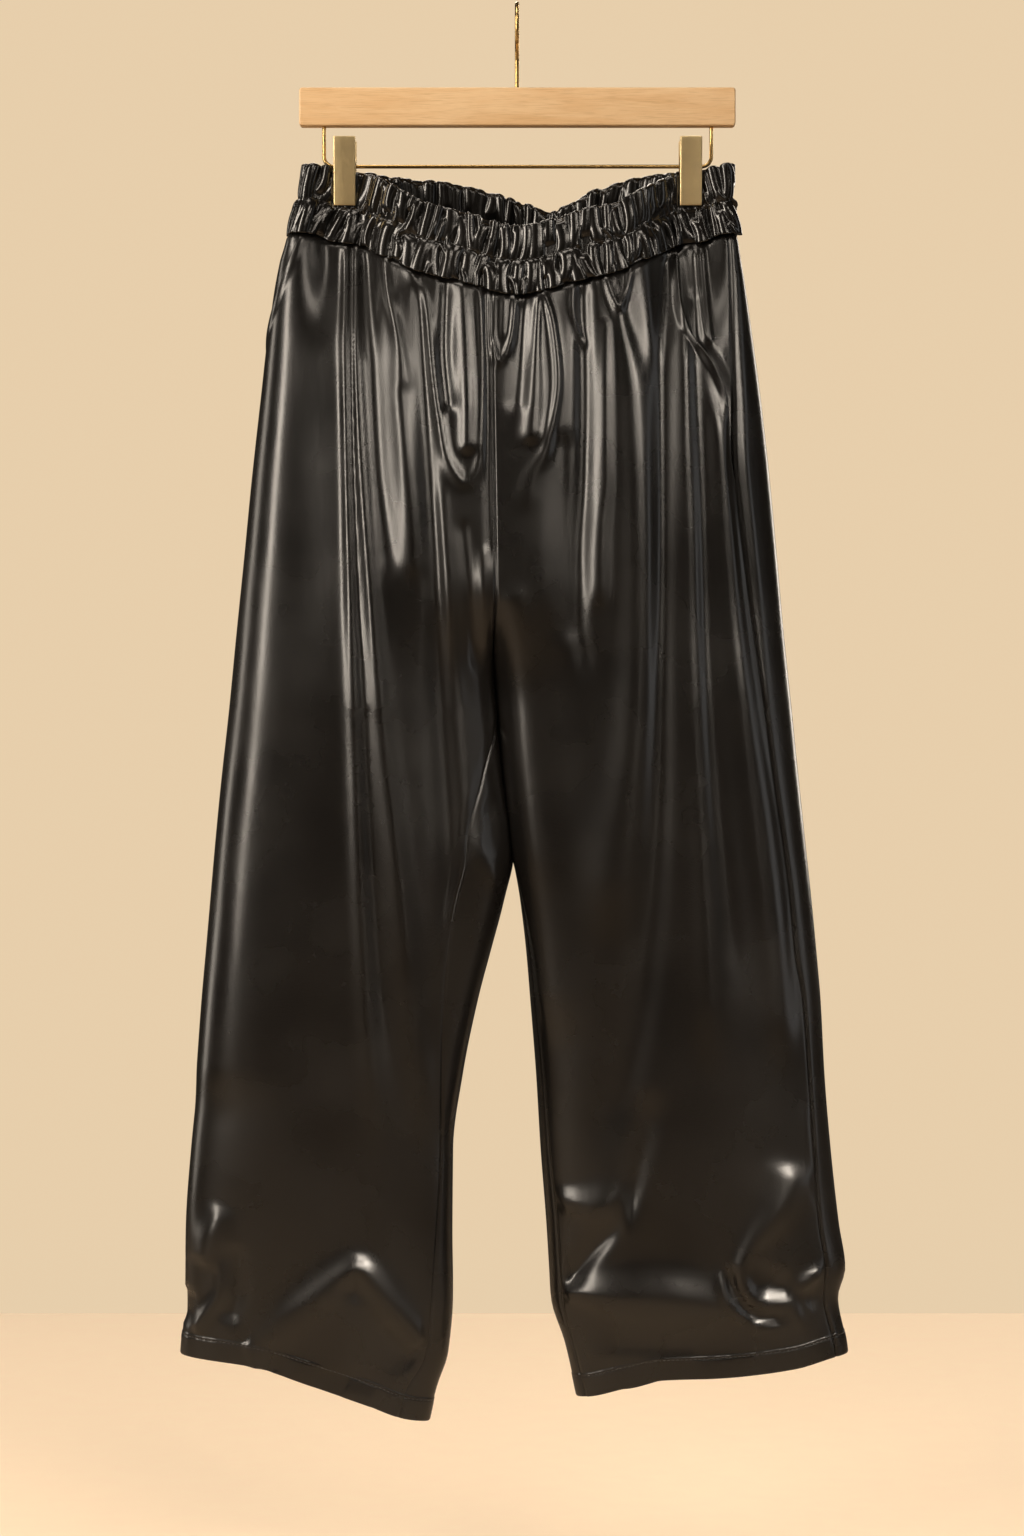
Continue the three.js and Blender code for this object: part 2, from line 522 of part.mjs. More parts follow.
// One leg panel, from the waist seam to the hem. The front's edge at the pocket mouth lifts a little.
function panelGeometry(side, face) {
  const outer = [];
  const inner = [];
  for (const row of panelRows()) {
    const outerRow = [];
    const innerRow = [];
    for (let c = 0; c < PANEL_GRID[face]; c += 1) {
      const u = c / (PANEL_GRID[face] - 1);
      const z = rowHeight(side, face, row, u);
      const place = panelSurface(side, face, u, z);
      const ahead = face === 'front' ? mouthAhead(z) : 0;
      const nearMouth = 1 - smooth(place.toEnd - ahead, 0, FACING.liftWidth);
      const lift = FACING.lift * smooth(ahead, 0, FACING.liftWidth) * nearMouth;
      outerRow.push(offsetPoint(place, lift + row.wall - CLOTH_WALL / 2));
      innerRow.push(offsetPoint(place, lift - CLOTH_WALL / 2));
    }
    outer.push(outerRow);
    inner.push(innerRow);
  }
  return wallGeometry(outer, inner);
}

// The facing behind a pocket mouth: the front panel's own points moved in, then on to the side seam.
function facingGeometry(side) {
  const across = [];
  for (let i = FACING.underColumns; i >= 0; i -= 1) {
    across.push(1 - i / (PANEL_GRID.front - 1));
  }
  for (let i = 1; i <= FACING.openColumns; i += 1) {
    across.push(1 + i / FACING.openColumns);
  }
  const rows = panelRows().filter((row) => {
    const z = row.rise === undefined ? CROTCH_Z : rowHeight(side, 'front', row, 1);
    return mouthAhead(z) > FACING.least;
  });
  const outer = [];
  const inner = [];
  for (const row of rows) {
    const outerRow = [];
    const innerRow = [];
    for (const u of across) {
      const z = rowHeight(side, 'front', row, u);
      const place = panelSurface(side, 'front', u, z);
      const pastMouth = Math.max(0, mouthAhead(z) - place.toEnd);
      const sunk = FACING.inset * (1 - smooth(pastMouth, 0, FACING.flushAfter));
      outerRow.push(offsetPoint(place, CLOTH_WALL / 2 - sunk));
      innerRow.push(offsetPoint(place, -CLOTH_WALL / 2 - sunk));
    }
    outer.push(outerRow);
    inner.push(innerRow);
  }
  return wallGeometry(outer, inner);
}

// Reads the angle at a share of the way round the waistband, at equal steps along the cloth.
function bandAngles() {
  const steps = BAND_ANGLE_STEPS;
  const lengths = [0];
  for (let i = 1; i <= steps; i += 1) {
    const from = hipPoint((2 * Math.PI * (i - 1)) / steps, BAND_RING_Z);
    lengths.push(lengths[i - 1] + from.distanceTo(hipPoint((2 * Math.PI * i) / steps, BAND_RING_Z)));
  }
  return (share) => {
    const found = lengths.findIndex((length) => length >= share * lengths[steps]);
    const next = Math.max(1, found);
    const t = (share * lengths[steps] - lengths[next - 1]) / (lengths[next] - lengths[next - 1]);
    return (2 * Math.PI * (next - 1 + t)) / steps;
  };
}

// The gathered waistband: one round wall, ridged outside and plain inside, with a row of
// gathers above and below its middle stitching.
function waistbandGeometry() {
  const angleAt = bandAngles();
  const place = (share, down) => {
    const middle = hipPoint(angleAt(share), BAND_RING_Z);
    const turn = middle.y < 0 ? -1 : 1;
    const slant = BAND_SLANT * Math.sin((Math.PI * middle.x) / BAND_HALF_WIDTH) * (down - 0.5);
    const angle = angleAt((share + (turn * slant) / BAND_LENGTH + 1) % 1);
    const face = Math.sin(angle) > 0 ? 'front' : 'back';
    let seam = BAND_RING_Z;
    for (let i = 0; i < SETTLE_STEPS; i += 1) {
      seam = waistSeam(face, hipPoint(angle, seam).x);
    }
    const z = seam + (1 - down) * BAND_HEIGHT;
    const point = hipPoint(angle, z);
    const along = hipPoint(angle + ANGLE_STEP, z).sub(hipPoint(angle - ANGLE_STEP, z));
    return { point, normal: new THREE.Vector3(-along.y, along.x, 0).normalize() };
  };

  const points = [];
  for (const row of BAND_ROWS) {
    for (let c = 0; c < BAND_COLUMNS; c += 1) {
      const { point, normal } = place(c / BAND_COLUMNS, row.down);
      const gather = Math.floor(c / SAMPLES_PER_GATHER);
      const wander = Math.sin(gather * GATHER_HEIGHT.turn + row.down * GATHER_HEIGHT.rowTurn);
      const uneven = GATHER_HEIGHT.middle + GATHER_HEIGHT.range * wander;
      const underClip = Math.abs(Math.abs(point.x) - CLIP_X.left) < CLIP.width / 2 + HELD.beyond;
      const held = underClip ? HELD.share : 1;
      const ridge = row.ridge * uneven * GATHER_PROFILE[c % SAMPLES_PER_GATHER];
      const height = (row.bulge * held + ridge) * held;
      points.push(point.clone().addScaledVector(normal, height));
    }
  }
  const insideStart = points.length;
  for (const down of BAND_INSIDE_ROWS) {
    for (let c = 0; c < BAND_INSIDE_COLUMNS; c += 1) {
      const { point, normal } = place(c / BAND_INSIDE_COLUMNS, down);
      points.push(point.clone().addScaledVector(normal, -BAND_WALL));
    }
  }
  const index = [];
  const out = (r, c) => r * BAND_COLUMNS + (c % BAND_COLUMNS);
  const inn = (r, c) => insideStart + r * BAND_INSIDE_COLUMNS + (c % BAND_INSIDE_COLUMNS);
  for (let r = 0; r < BAND_ROWS.length - 1; r += 1) {
    for (let c = 0; c < BAND_COLUMNS; c += 1) {
      index.push(out(r, c), out(r, c + 1), out(r + 1, c + 1), out(r, c), out(r + 1, c + 1), out(r + 1, c));
    }
  }
  for (let r = 0; r < BAND_INSIDE_ROWS.length - 1; r += 1) {
    for (let c = 0; c < BAND_INSIDE_COLUMNS; c += 1) {
      index.push(inn(r, c), inn(r + 1, c + 1), inn(r, c + 1), inn(r, c), inn(r + 1, c), inn(r + 1, c + 1));
    }
  }
  const ratio = BAND_COLUMNS / BAND_INSIDE_COLUMNS;
  const lastOut = BAND_ROWS.length - 1;
  const lastIn = BAND_INSIDE_ROWS.length - 1;
  for (let c = 0; c < BAND_INSIDE_COLUMNS; c += 1) {
    for (let k = 0; k < ratio; k += 1) {
      const here = c * ratio + k;
      const hub = k < ratio / 2 ? c : c + 1;
      index.push(out(0, here), inn(0, hub), out(0, here + 1));
      index.push(out(lastOut, here), out(lastOut, here + 1), inn(lastIn, hub));
    }
    const half = c * ratio + ratio / 2;
    index.push(inn(0, c), inn(0, c + 1), out(0, half));
    index.push(inn(lastIn, c), out(lastOut, half), inn(lastIn, c + 1));
  }
  return closedGeometry(points, index);
}

// A closed solid for a join or a cut, and back.
function toSolid(geometry) {
  const plain = geometry.clone();
  plain.deleteAttribute('normal');
  plain.deleteAttribute('uv');
  const merged = mergeVertices(plain, MERGE_DISTANCE);
  return new wasm.Manifold(new wasm.Mesh({
    numProp: 3,
    vertProperties: new Float32Array(merged.attributes.position.array),
    triVerts: new Uint32Array(merged.index.array),
  }));
}

function toGeometry(solid) {
  const mesh = solid.getMesh();
  const geometry = new THREE.BufferGeometry();
  geometry.setAttribute('position', new THREE.BufferAttribute(new Float32Array(mesh.vertProperties), 3));
  geometry.setIndex(new THREE.BufferAttribute(new Uint32Array(mesh.triVerts), 1));
  return geometry;
}

function cylinder(radius, bottom, top, x, y) {
  const geometry = new THREE.CylinderGeometry(radius, radius, top - bottom, WIRE_SIDES);
  geometry.rotateX(Math.PI / 2);
  geometry.translate(x, y, (top + bottom) / 2);
  return geometry;
}

// The wooden bar with rounded edges and blind holes for the hook's stem and the two wire arms.
function barGeometry() {
  const shape = new THREE.Shape();
  const halfWidth = (BAR.left - BAR.right) / 2 - BAR.edge;
  const halfHeight = (BAR.top - BAR.bottom) / 2 - BAR.edge;
  const r = BAR.corner;
  shape.absarc(halfWidth - r, halfHeight - r, r, 0, Math.PI / 2, false);
  shape.absarc(-halfWidth + r, halfHeight - r, r, Math.PI / 2, Math.PI, false);
  shape.absarc(-halfWidth + r, -halfHeight + r, r, Math.PI, 1.5 * Math.PI, false);
  shape.absarc(halfWidth - r, -halfHeight + r, r, 1.5 * Math.PI, 2 * Math.PI, false);
  const geometry = new THREE.ExtrudeGeometry(shape, {
    depth: BAR.thickness - 2 * BAR.edge,
    bevelEnabled: true,
    bevelThickness: BAR.edge,
    bevelSize: BAR.edge,
    bevelSegments: 2,
    curveSegments: CURVE_STEPS,
  });
  geometry.rotateX(Math.PI / 2);
  geometry.translate((BAR.left + BAR.right) / 2, BAR.thickness / 2 - BAR.edge, (BAR.top + BAR.bottom) / 2);
  let bar = toSolid(geometry);
  const stemHole = cylinder(HOOK.wireRadius + FIT, BAR.top - WIRE_IN_BAR, BAR.top + CUT_OVERRUN, HOOK.x, 0);
  bar = bar.subtract(toSolid(stemHole));
  for (const x of [ARM_X.right, ARM_X.left]) {
    const hole = cylinder(WIRE_RADIUS + FIT, BAR.bottom - CUT_OVERRUN, BAR.bottom + WIRE_IN_BAR, x, 0);
    bar = bar.subtract(toSolid(hole));
  }
  return toGeometry(bar);
}

// A round wire through stations in one plane, each given with its direction.
function wireGeometry(stations, radius, planeNormal) {
  const points = [];
  for (const { at, along } of stations) {
    const aside = planeNormal.clone().cross(along).normalize();
    for (let i = 0; i < WIRE_SIDES; i += 1) {
      const angle = (2 * Math.PI * i) / WIRE_SIDES;
      const point = at.clone().addScaledVector(aside, radius * Math.cos(angle));
      points.push(point.addScaledVector(planeNormal, radius * Math.sin(angle)));
    }
  }
  points.push(stations[0].at, stations.at(-1).at);
  const index = [];
  const last = (stations.length - 1) * WIRE_SIDES;
  for (let i = 0; i < WIRE_SIDES; i += 1) {
    const next = (i + 1) % WIRE_SIDES;
    for (let ring = 0; ring < last; ring += WIRE_SIDES) {
      const [a, b] = [ring + i, ring + next];
      index.push(a, b, b + WIRE_SIDES, a, b + WIRE_SIDES, a + WIRE_SIDES);
    }
    index.push(points.length - 2, next, i, points.length - 1, last + i, last + next);
  }
  return closedGeometry(points, index);
}

// Stations round a bend in the plane of two axes, from one angle to another.
function bendStations(centre, radius, from, to, across, up) {
  const steps = Math.ceil(Math.abs(to - from) / BEND_STEP);
  const way = Math.sign(to - from);
  const stations = [];
  for (let i = 0; i <= steps; i += 1) {
    const angle = lerp(from, to, i / steps);
    const at = centre.clone().addScaledVector(across, radius * Math.cos(angle));
    at.addScaledVector(up, radius * Math.sin(angle));
    const along = across.clone().multiplyScalar(-way * Math.sin(angle));
    along.addScaledVector(up, way * Math.cos(angle));
    stations.push({ at, along });
  }
  return stations;
}

const X_AXIS = new THREE.Vector3(1, 0, 0);
const Y_AXIS = new THREE.Vector3(0, 1, 0);
const Z_AXIS = new THREE.Vector3(0, 0, 1);

// The hook: a stem up from the bar, a neck that leans forward, and a round that bears on the rail.
function hookGeometry() {
  const round = HOOK.innerRadius + HOOK.wireRadius;
  const neckZ = -HOOK.innerRadius - Math.sqrt(round ** 2 + 2 * HOOK.neckRadius * round);
  const meet = Math.atan2(-HOOK.innerRadius - neckZ, HOOK.neckRadius);
  const stem = new THREE.Vector3(HOOK.x, 0, BAR.top - WIRE_IN_BAR + FIT);
  const neck = new THREE.Vector3(HOOK.x, -HOOK.neckRadius, neckZ);
  const centre = new THREE.Vector3(HOOK.x, 0, -HOOK.innerRadius);
  return wireGeometry([
    { at: stem, along: Z_AXIS },
    ...bendStations(neck, HOOK.neckRadius, 0, meet, Y_AXIS, Z_AXIS),
    ...bendStations(centre, round, Math.PI + meet, HOOK.tipAngle, Y_AXIS, Z_AXIS).slice(1),
  ], HOOK.wireRadius, X_AXIS);
}

// The wire frame under the bar: an arm down, the rod that the clips ride on, and an arm up.
function frameGeometry() {
  const top = BAR.bottom + WIRE_IN_BAR - FIT;
  const low = ROD_Z + WIRE_BEND;
  const right = new THREE.Vector3(ARM_X.right + WIRE_BEND, 0, low);
  const left = new THREE.Vector3(ARM_X.left - WIRE_BEND, 0, low);
  return wireGeometry([
    { at: new THREE.Vector3(ARM_X.right, 0, top), along: Z_AXIS.clone().negate() },
    ...bendStations(right, WIRE_BEND, Math.PI, 1.5 * Math.PI, X_AXIS, Z_AXIS),
    ...bendStations(left, WIRE_BEND, 1.5 * Math.PI, 2 * Math.PI, X_AXIS, Z_AXIS),
    { at: new THREE.Vector3(ARM_X.left, 0, top), along: Z_AXIS },
  ], WIRE_RADIUS, Y_AXIS);
}

// One jaw of a clip: a flat plate that leans out towards its top, with two ears round the rod.
function jawGeometry(face, earInset, plateShift) {
  const height = CLIP.top - CLIP.bottom;
  const tilt = THREE.MathUtils.degToRad(CLIP.tilt);
  const plate = new THREE.BoxGeometry(CLIP.width, CLIP.plate, height);
  plate.translate(0, -CLIP.plate / 2, height / 2);
  plate.rotateX(tilt);
  plate.translate(plateShift, -CLIP.grip, CLIP.bottom);
  let jaw = toSolid(plate);
  const reach = CLIP.grip + (ROD_Z - CLIP.bottom) * Math.tan(tilt) + CLIP.plate / 2;
  const earRadius = WIRE_RADIUS + FIT + EAR.wall;
  for (const way of [-1, 1]) {
    const ear = new THREE.Shape();
    ear.moveTo(-reach, earRadius + EAR.flare);
    ear.absarc(0, 0, earRadius, Math.PI / 2, -Math.PI / 2, true);
    ear.lineTo(-reach, -earRadius - EAR.flare);
    const geometry = new THREE.ExtrudeGeometry(ear, {
      depth: CLIP.plate,
      bevelEnabled: false,
      curveSegments: CURVE_STEPS,
    });
    geometry.applyMatrix4(new THREE.Matrix4().makeBasis(Y_AXIS, Z_AXIS, X_AXIS));
    geometry.translate(way * (CLIP.width / 2 - earInset - CLIP.plate / 2) - CLIP.plate / 2, 0, ROD_Z);
    jaw = jaw.add(toSolid(geometry));
  }
  const rodHole = cylinder(WIRE_RADIUS + FIT, -CLIP.width, CLIP.width, 0, 0);
  rodHole.rotateY(Math.PI / 2);
  rodHole.translate(0, 0, ROD_Z);
  const geometry = toGeometry(jaw.subtract(toSolid(rodHole)));
  if (face === 'back') {
    geometry.rotateZ(Math.PI);
  }
  return geometry;
}

function springGeometry() {
  const half = SPRING.length / 2;
  const ring = [
    [SPRING.innerRadius, -half], [SPRING.outerRadius, -half],
    [SPRING.outerRadius, half], [SPRING.innerRadius, half], [SPRING.innerRadius, -half],
  ];
  const geometry = new THREE.LatheGeometry(ring.map(([r, y]) => new THREE.Vector2(r, y)), SPRING.sides);
  geometry.rotateZ(Math.PI / 2);
  return geometry;
}

const materials = Object.fromEntries(
  Object.entries(COLOURS).map(([name, values]) => [name, new THREE.MeshStandardMaterial(values)]),
);

function piece(name, geometry, material) {
  const mesh = new THREE.Mesh(geometry, materials[material].clone());
  mesh.name = name;
  return mesh;
}

const trousers = new THREE.Group();
trousers.add(piece('waistband', waistbandGeometry(), 'leather'));
for (const side of ['right', 'left']) {
  trousers.add(piece(`front_panel_${side}`, panelGeometry(side, 'front'), 'leather'));
  trousers.add(piece(`back_panel_${side}`, panelGeometry(side, 'back'), 'leather'));
  trousers.add(piece(`pocket_facing_${side}`, facingGeometry(side), 'leather'));
}

const hanger = new THREE.Group();
hanger.add(piece('hanger_bar', barGeometry(), 'wood'));
hanger.add(piece('hanger_hook', hookGeometry(), 'brass'));
hanger.add(piece('hanger_wire', frameGeometry(), 'brass'));
for (const side of ['right', 'left']) {
  const clip = new THREE.Group();
  clip.position.x = CLIP_X[side];
  const backShift = side === 'right' ? -BACK_JAW_SHIFT : BACK_JAW_SHIFT;
  clip.add(piece(`clip_${side}_front_jaw`, jawGeometry('front', 0, 0), 'brass'));
  clip.add(piece(`clip_${side}_back_jaw`, jawGeometry('back', CLIP.plate + FIT, backShift), 'brass'));
  const spring = piece(`clip_${side}_spring`, springGeometry(), 'brass');
  spring.position.z = ROD_Z;
  clip.add(spring);
  hanger.add(clip);
}

const group = new THREE.Group();
group.add(trousers, hanger);

export default group;
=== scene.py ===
import math
import bpy
import numpy as np
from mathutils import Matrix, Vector


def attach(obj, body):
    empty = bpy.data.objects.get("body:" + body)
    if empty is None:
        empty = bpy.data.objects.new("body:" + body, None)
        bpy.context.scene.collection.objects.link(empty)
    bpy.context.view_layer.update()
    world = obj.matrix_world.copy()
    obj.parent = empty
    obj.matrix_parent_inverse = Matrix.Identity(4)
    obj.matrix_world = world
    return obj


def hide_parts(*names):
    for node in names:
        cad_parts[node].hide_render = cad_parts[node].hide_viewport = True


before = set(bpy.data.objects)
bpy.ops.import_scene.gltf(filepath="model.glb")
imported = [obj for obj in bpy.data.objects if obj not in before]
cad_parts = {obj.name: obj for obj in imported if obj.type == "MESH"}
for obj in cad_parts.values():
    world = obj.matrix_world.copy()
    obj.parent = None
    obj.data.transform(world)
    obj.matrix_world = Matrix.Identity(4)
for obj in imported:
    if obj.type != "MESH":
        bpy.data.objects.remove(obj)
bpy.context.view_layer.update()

# Hanger bar: one straight bar of pale close-grained wood, sawn and sanded with soft edges.
# A satin varnish covers it. The hook and the wire frame are pushed into holes in it.
# The sizes of all pieces are in millimetres, and new_piece turns them into metres.
BAR = {"left": 177, "right": -178, "top": -67, "bottom": -98, "thickness": 12}
BAR_CORNER = 2.6
BAR_EDGE = 1.3
BAR_STEPS = 5


def add_node(tree, kind, group=None, **inputs):
    made = tree.nodes.new(kind)
    if group is not None:
        made.node_tree = group
    for name, value in inputs.items():
        socket = made.inputs[name.replace("_", " ")]
        if isinstance(value, bpy.types.NodeSocket):
            tree.links.new(value, socket)
        else:
            socket.default_value = value
    return made


def noise(tree, place, scale, detail, **more):
    made = add_node(tree, "ShaderNodeTexNoise", Vector=place, Scale=scale, Detail=detail, **more)
    return made.outputs["Fac"]


def vary_colour(tree, socket, value, low, high, first, second):
    ramp = tree.nodes.new("ShaderNodeValToRGB")
    tree.links.new(value, ramp.inputs["Fac"])
    for end, position, colour in zip(ramp.color_ramp.elements, (low, high), (first, second)):
        end.position = position
        end.color = (*colour, 1)
    tree.links.new(ramp.outputs["Color"], socket)


def vary_number(tree, socket, value, low, high, first, second):
    ranged = add_node(tree, "ShaderNodeMapRange", Value=value, From_Min=low, From_Max=high,
                      To_Min=first, To_Max=second)
    tree.links.new(ranged.outputs["Result"], socket)


def relief(tree, normal, height, strength, depth):
    bump = add_node(tree, "ShaderNodeBump", Height=height, Strength=strength, Distance=depth)
    tree.links.new(bump.outputs["Normal"], normal)
    return bump.inputs["Normal"]


def new_finish(name, colour, roughness, metallic=0.0):
    finish = bpy.data.materials.new(name)
    finish.use_nodes = True
    shader = finish.node_tree.nodes["Principled BSDF"]
    shader.inputs["Base Color"].default_value = (*colour, 1)
    shader.inputs["Roughness"].default_value = roughness
    shader.inputs["Metallic"].default_value = metallic
    return finish, finish.node_tree, shader


def place_on_object(tree, scale):
    place = tree.nodes.new("ShaderNodeTexCoord").outputs["Object"]
    return add_node(tree, "ShaderNodeMapping", Vector=place, Scale=scale).outputs["Vector"]


def put_in_scene(name, data):
    made = bpy.data.objects.new(name, data)
    bpy.context.scene.collection.objects.link(made)
    return made


def new_piece(name, points, faces, finishes, face_finishes=None):
    mesh = bpy.data.meshes.new(name)
    mesh.from_pydata((np.asarray(points, float) * 0.001).tolist(), [], faces)
    for finish in finishes:
        mesh.materials.append(finish)
    if face_finishes is not None:
        mesh.polygons.foreach_set("material_index", face_finishes)
    mesh.shade_smooth()
    piece = put_in_scene(name, mesh)
    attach(piece, "root")
    return piece


def bar_outline(y, inset):
    middle_x = (BAR["left"] + BAR["right"]) / 2
    middle_z = (BAR["top"] + BAR["bottom"]) / 2
    half_width = (BAR["left"] - BAR["right"]) / 2 - BAR_CORNER
    half_height = (BAR["top"] - BAR["bottom"]) / 2 - BAR_CORNER
    outline = []
    for across, up, start in ((1, 1, 0), (-1, 1, 90), (-1, -1, 180), (1, -1, 270)):
        for step in range(BAR_STEPS + 1):
            angle = math.radians(start + 90 * step / BAR_STEPS)
            x = across * half_width + (BAR_CORNER - inset) * math.cos(angle)
            z = up * half_height + (BAR_CORNER - inset) * math.sin(angle)
            outline.append((middle_x + x, y, middle_z + z))
    return outline


def rings_to_faces(rings, around, closed_ends=True):
    faces = []
    for ring in range(rings - 1):
        for i in range(around):
            here = ring * around + i
            beside = ring * around + (i + 1) % around
            faces.append((here, beside, beside + around, here + around))
    if closed_ends:
        faces.append(tuple(range(around))[::-1])
        faces.append(tuple(range((rings - 1) * around, rings * around)))
    return faces


bar_points = []
bar_turns = [math.radians(90 * step / BAR_STEPS) for step in range(BAR_STEPS + 1)]
for away, turns in ((1, bar_turns), (-1, bar_turns[::-1])):
    for turn in turns:
        y = away * (BAR["thickness"] / 2 - BAR_EDGE * (1 - math.cos(turn)))
        bar_points += bar_outline(y, BAR_EDGE * (1 - math.sin(turn)))

varnished_wood, tree, shader = new_finish("varnished_wood", (0.72, 0.45, 0.22), 0.42)
grain = noise(tree, place_on_object(tree, (5, 45, 45)), 2.2, 6, Roughness=0.62, Distortion=0.5)
pores = noise(tree, place_on_object(tree, (60, 1300, 1300)), 1, 2)
mixed = tree.nodes.new("ShaderNodeMix")
mixed.data_type = "RGBA"
mixed.blend_type = "MULTIPLY"
mixed.inputs["Factor"].default_value = 0.6
vary_colour(tree, mixed.inputs["A"], grain, 0.36, 0.66, (0.83, 0.53, 0.265), (0.93, 0.655, 0.375))
vary_colour(tree, mixed.inputs["B"], pores, 0.3, 0.5, (0.78, 0.72, 0.66), (1, 1, 1))
tree.links.new(mixed.outputs["Result"], shader.inputs["Base Color"])
relief(tree, shader.inputs["Normal"], pores, 0.25, 0.0002)

hanger_bar = new_piece("hanger_bar_wood", bar_points, rings_to_faces(2 * BAR_STEPS + 2, 4 * BAR_STEPS + 4),
                       [varnished_wood])
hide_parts("hanger_bar")

# Hook: polished brass-plated steel wire, bent round a former into a neck and a round.
# Its straight stem is pushed into the top of the bar, and its tip is ground round.
HOOK = {"x": -0.8, "wire_radius": 1.75, "inner_radius": 17, "neck_radius": 18, "tip_angle": -0.45}
STEM_STOPS = (-4, 1)
NECK_LEAD = 1.5
WIRE_IN_BAR = 11
WIRE_SIDES = 20
WIRE_STEP = 0.07
TIP_TURNS = (20, 45, 70, 88)


def new_group(name, inputs, outputs):
    group = bpy.data.node_groups.new(name, "ShaderNodeTree")
    for socket, value in inputs.items():
        made = group.interface.new_socket(socket, in_out="INPUT", socket_type="NodeSocketFloat")
        made.default_value = value
    for socket in outputs:
        group.interface.new_socket(socket, in_out="OUTPUT", socket_type="NodeSocketFloat")
    place = group.nodes.new("ShaderNodeTexCoord").outputs["Object"]
    return group, place, group.nodes.new("NodeGroupInput").outputs, group.nodes.new("NodeGroupOutput").inputs


def brushed_metal():
    group, place, given, kept = new_group(
        "brushed_metal", {"Across": 900, "Along": 25}, ("Streaks", "Smudges"))
    scale = add_node(group, "ShaderNodeCombineXYZ", X=given["Across"], Y=given["Across"], Z=given["Along"])
    stretched = add_node(group, "ShaderNodeMapping", Vector=place, Scale=scale.outputs["Vector"])
    group.links.new(noise(group, stretched.outputs["Vector"], 1, 3), kept["Streaks"])
    group.links.new(noise(group, place, 60, 3), kept["Smudges"])
    return group


def brass_finish(name, colour, roughness, uneven, across, along, depth):
    finish, tree, shader = new_finish(name, colour, roughness, 1.0)
    brushed = add_node(tree, "ShaderNodeGroup", metal_marks, Across=across, Along=along).outputs
    shade = tuple(0.9 * part for part in colour)
    vary_colour(tree, shader.inputs["Base Color"], brushed["Smudges"], 0.35, 0.65, shade, colour)
    vary_number(tree, shader.inputs["Roughness"], brushed["Streaks"], 0.3, 0.7,
                roughness - uneven, roughness + uneven)
    relief(tree, shader.inputs["Normal"], brushed["Streaks"], 0.3, depth)
    return finish


def bend(centre_across, centre_up, radius, start, end):
    steps = math.ceil(abs(end - start) / WIRE_STEP)
    angles = np.linspace(start, end, steps + 1)
    return np.stack([centre_across + radius * np.cos(angles), centre_up + radius * np.sin(angles)], axis=1)


def wire(path, plane_normal, radius):
    path = np.asarray(path, float)
    along = np.gradient(path, axis=0)
    along /= np.linalg.norm(along, axis=1)[:, None]
    rings = []
    tip = [(math.cos(math.radians(turn)), math.sin(math.radians(turn))) for turn in TIP_TURNS]
    stations = [(path[0], along[0], share, -out) for share, out in tip[::-1]]
    stations += [(point, way, 1, 0) for point, way in zip(path, along)]
    stations += [(path[-1], along[-1], share, out) for share, out in tip]
    turns = np.linspace(0, 2 * math.pi, WIRE_SIDES, endpoint=False)
    for point, way, share, out in stations:
        aside = np.cross(plane_normal, way)
        ring = np.outer(np.cos(turns), aside) + np.outer(np.sin(turns), plane_normal)
        rings.append(point + radius * out * way + radius * share * ring)
    return np.concatenate(rings), rings_to_faces(len(rings), WIRE_SIDES)


metal_marks = brushed_metal()
wire_brass = brass_finish("wire_brass", (0.62, 0.42, 0.17), 0.22, 0.03, 300, 300, 0.000005)

round_radius = HOOK["inner_radius"] + HOOK["wire_radius"]
neck_z = -HOOK["inner_radius"] - math.sqrt(round_radius ** 2 + 2 * HOOK["neck_radius"] * round_radius)
meet = math.atan2(-HOOK["inner_radius"] - neck_z, HOOK["neck_radius"])
stem = [(0, BAR["top"] + up) for up in (-WIRE_IN_BAR, *STEM_STOPS)] + [(0, neck_z - NECK_LEAD)]
neck = bend(-HOOK["neck_radius"], neck_z, HOOK["neck_radius"], 0, meet)
round_part = bend(0, -HOOK["inner_radius"], round_radius, math.pi + meet, HOOK["tip_angle"])[1:]
hook_path = [(HOOK["x"], across, up) for across, up in [*stem, *neck, *round_part]]
hook_points, hook_faces = wire(hook_path, np.array([1.0, 0, 0]), HOOK["wire_radius"])
hanger_hook = new_piece("hanger_hook_wire", hook_points, hook_faces, [wire_brass])
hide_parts("hanger_hook")

# Wire frame: one thinner length of the same wire, bent square at both ends.
# Its two arms are pushed into the underside of the bar, and the clips slide on its straight rod.
ARM_X = {"right": -158, "left": 157.5}
ROD_Z = -130.5
ROD_RADIUS = 1.6
ROD_BEND = 8
ROD_STOPS = 30
BEND_LEAD = 1

bend_z = ROD_Z + ROD_BEND
arm_top = BAR["bottom"] + WIRE_IN_BAR
right_bend = bend(ARM_X["right"] + ROD_BEND, bend_z, ROD_BEND, math.pi, 1.5 * math.pi)
left_bend = bend(ARM_X["left"] - ROD_BEND, bend_z, ROD_BEND, 1.5 * math.pi, 2 * math.pi)
rod_start = ARM_X["right"] + ROD_BEND + BEND_LEAD
rod_end = ARM_X["left"] - ROD_BEND - BEND_LEAD
frame_line = [(ARM_X["right"], arm_top), (ARM_X["right"], bend_z + BEND_LEAD), *right_bend]
frame_line += [(x, ROD_Z) for x in np.linspace(rod_start, rod_end, ROD_STOPS)]
frame_line += [*left_bend, (ARM_X["left"], bend_z + BEND_LEAD), (ARM_X["left"], arm_top)]
wire_points, wire_faces = wire([(x, 0, z) for x, z in frame_line], np.array([0, 1.0, 0]), ROD_RADIUS)
hanger_wire = new_piece("hanger_frame_wire", wire_points, wire_faces, [wire_brass])
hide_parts("hanger_wire")

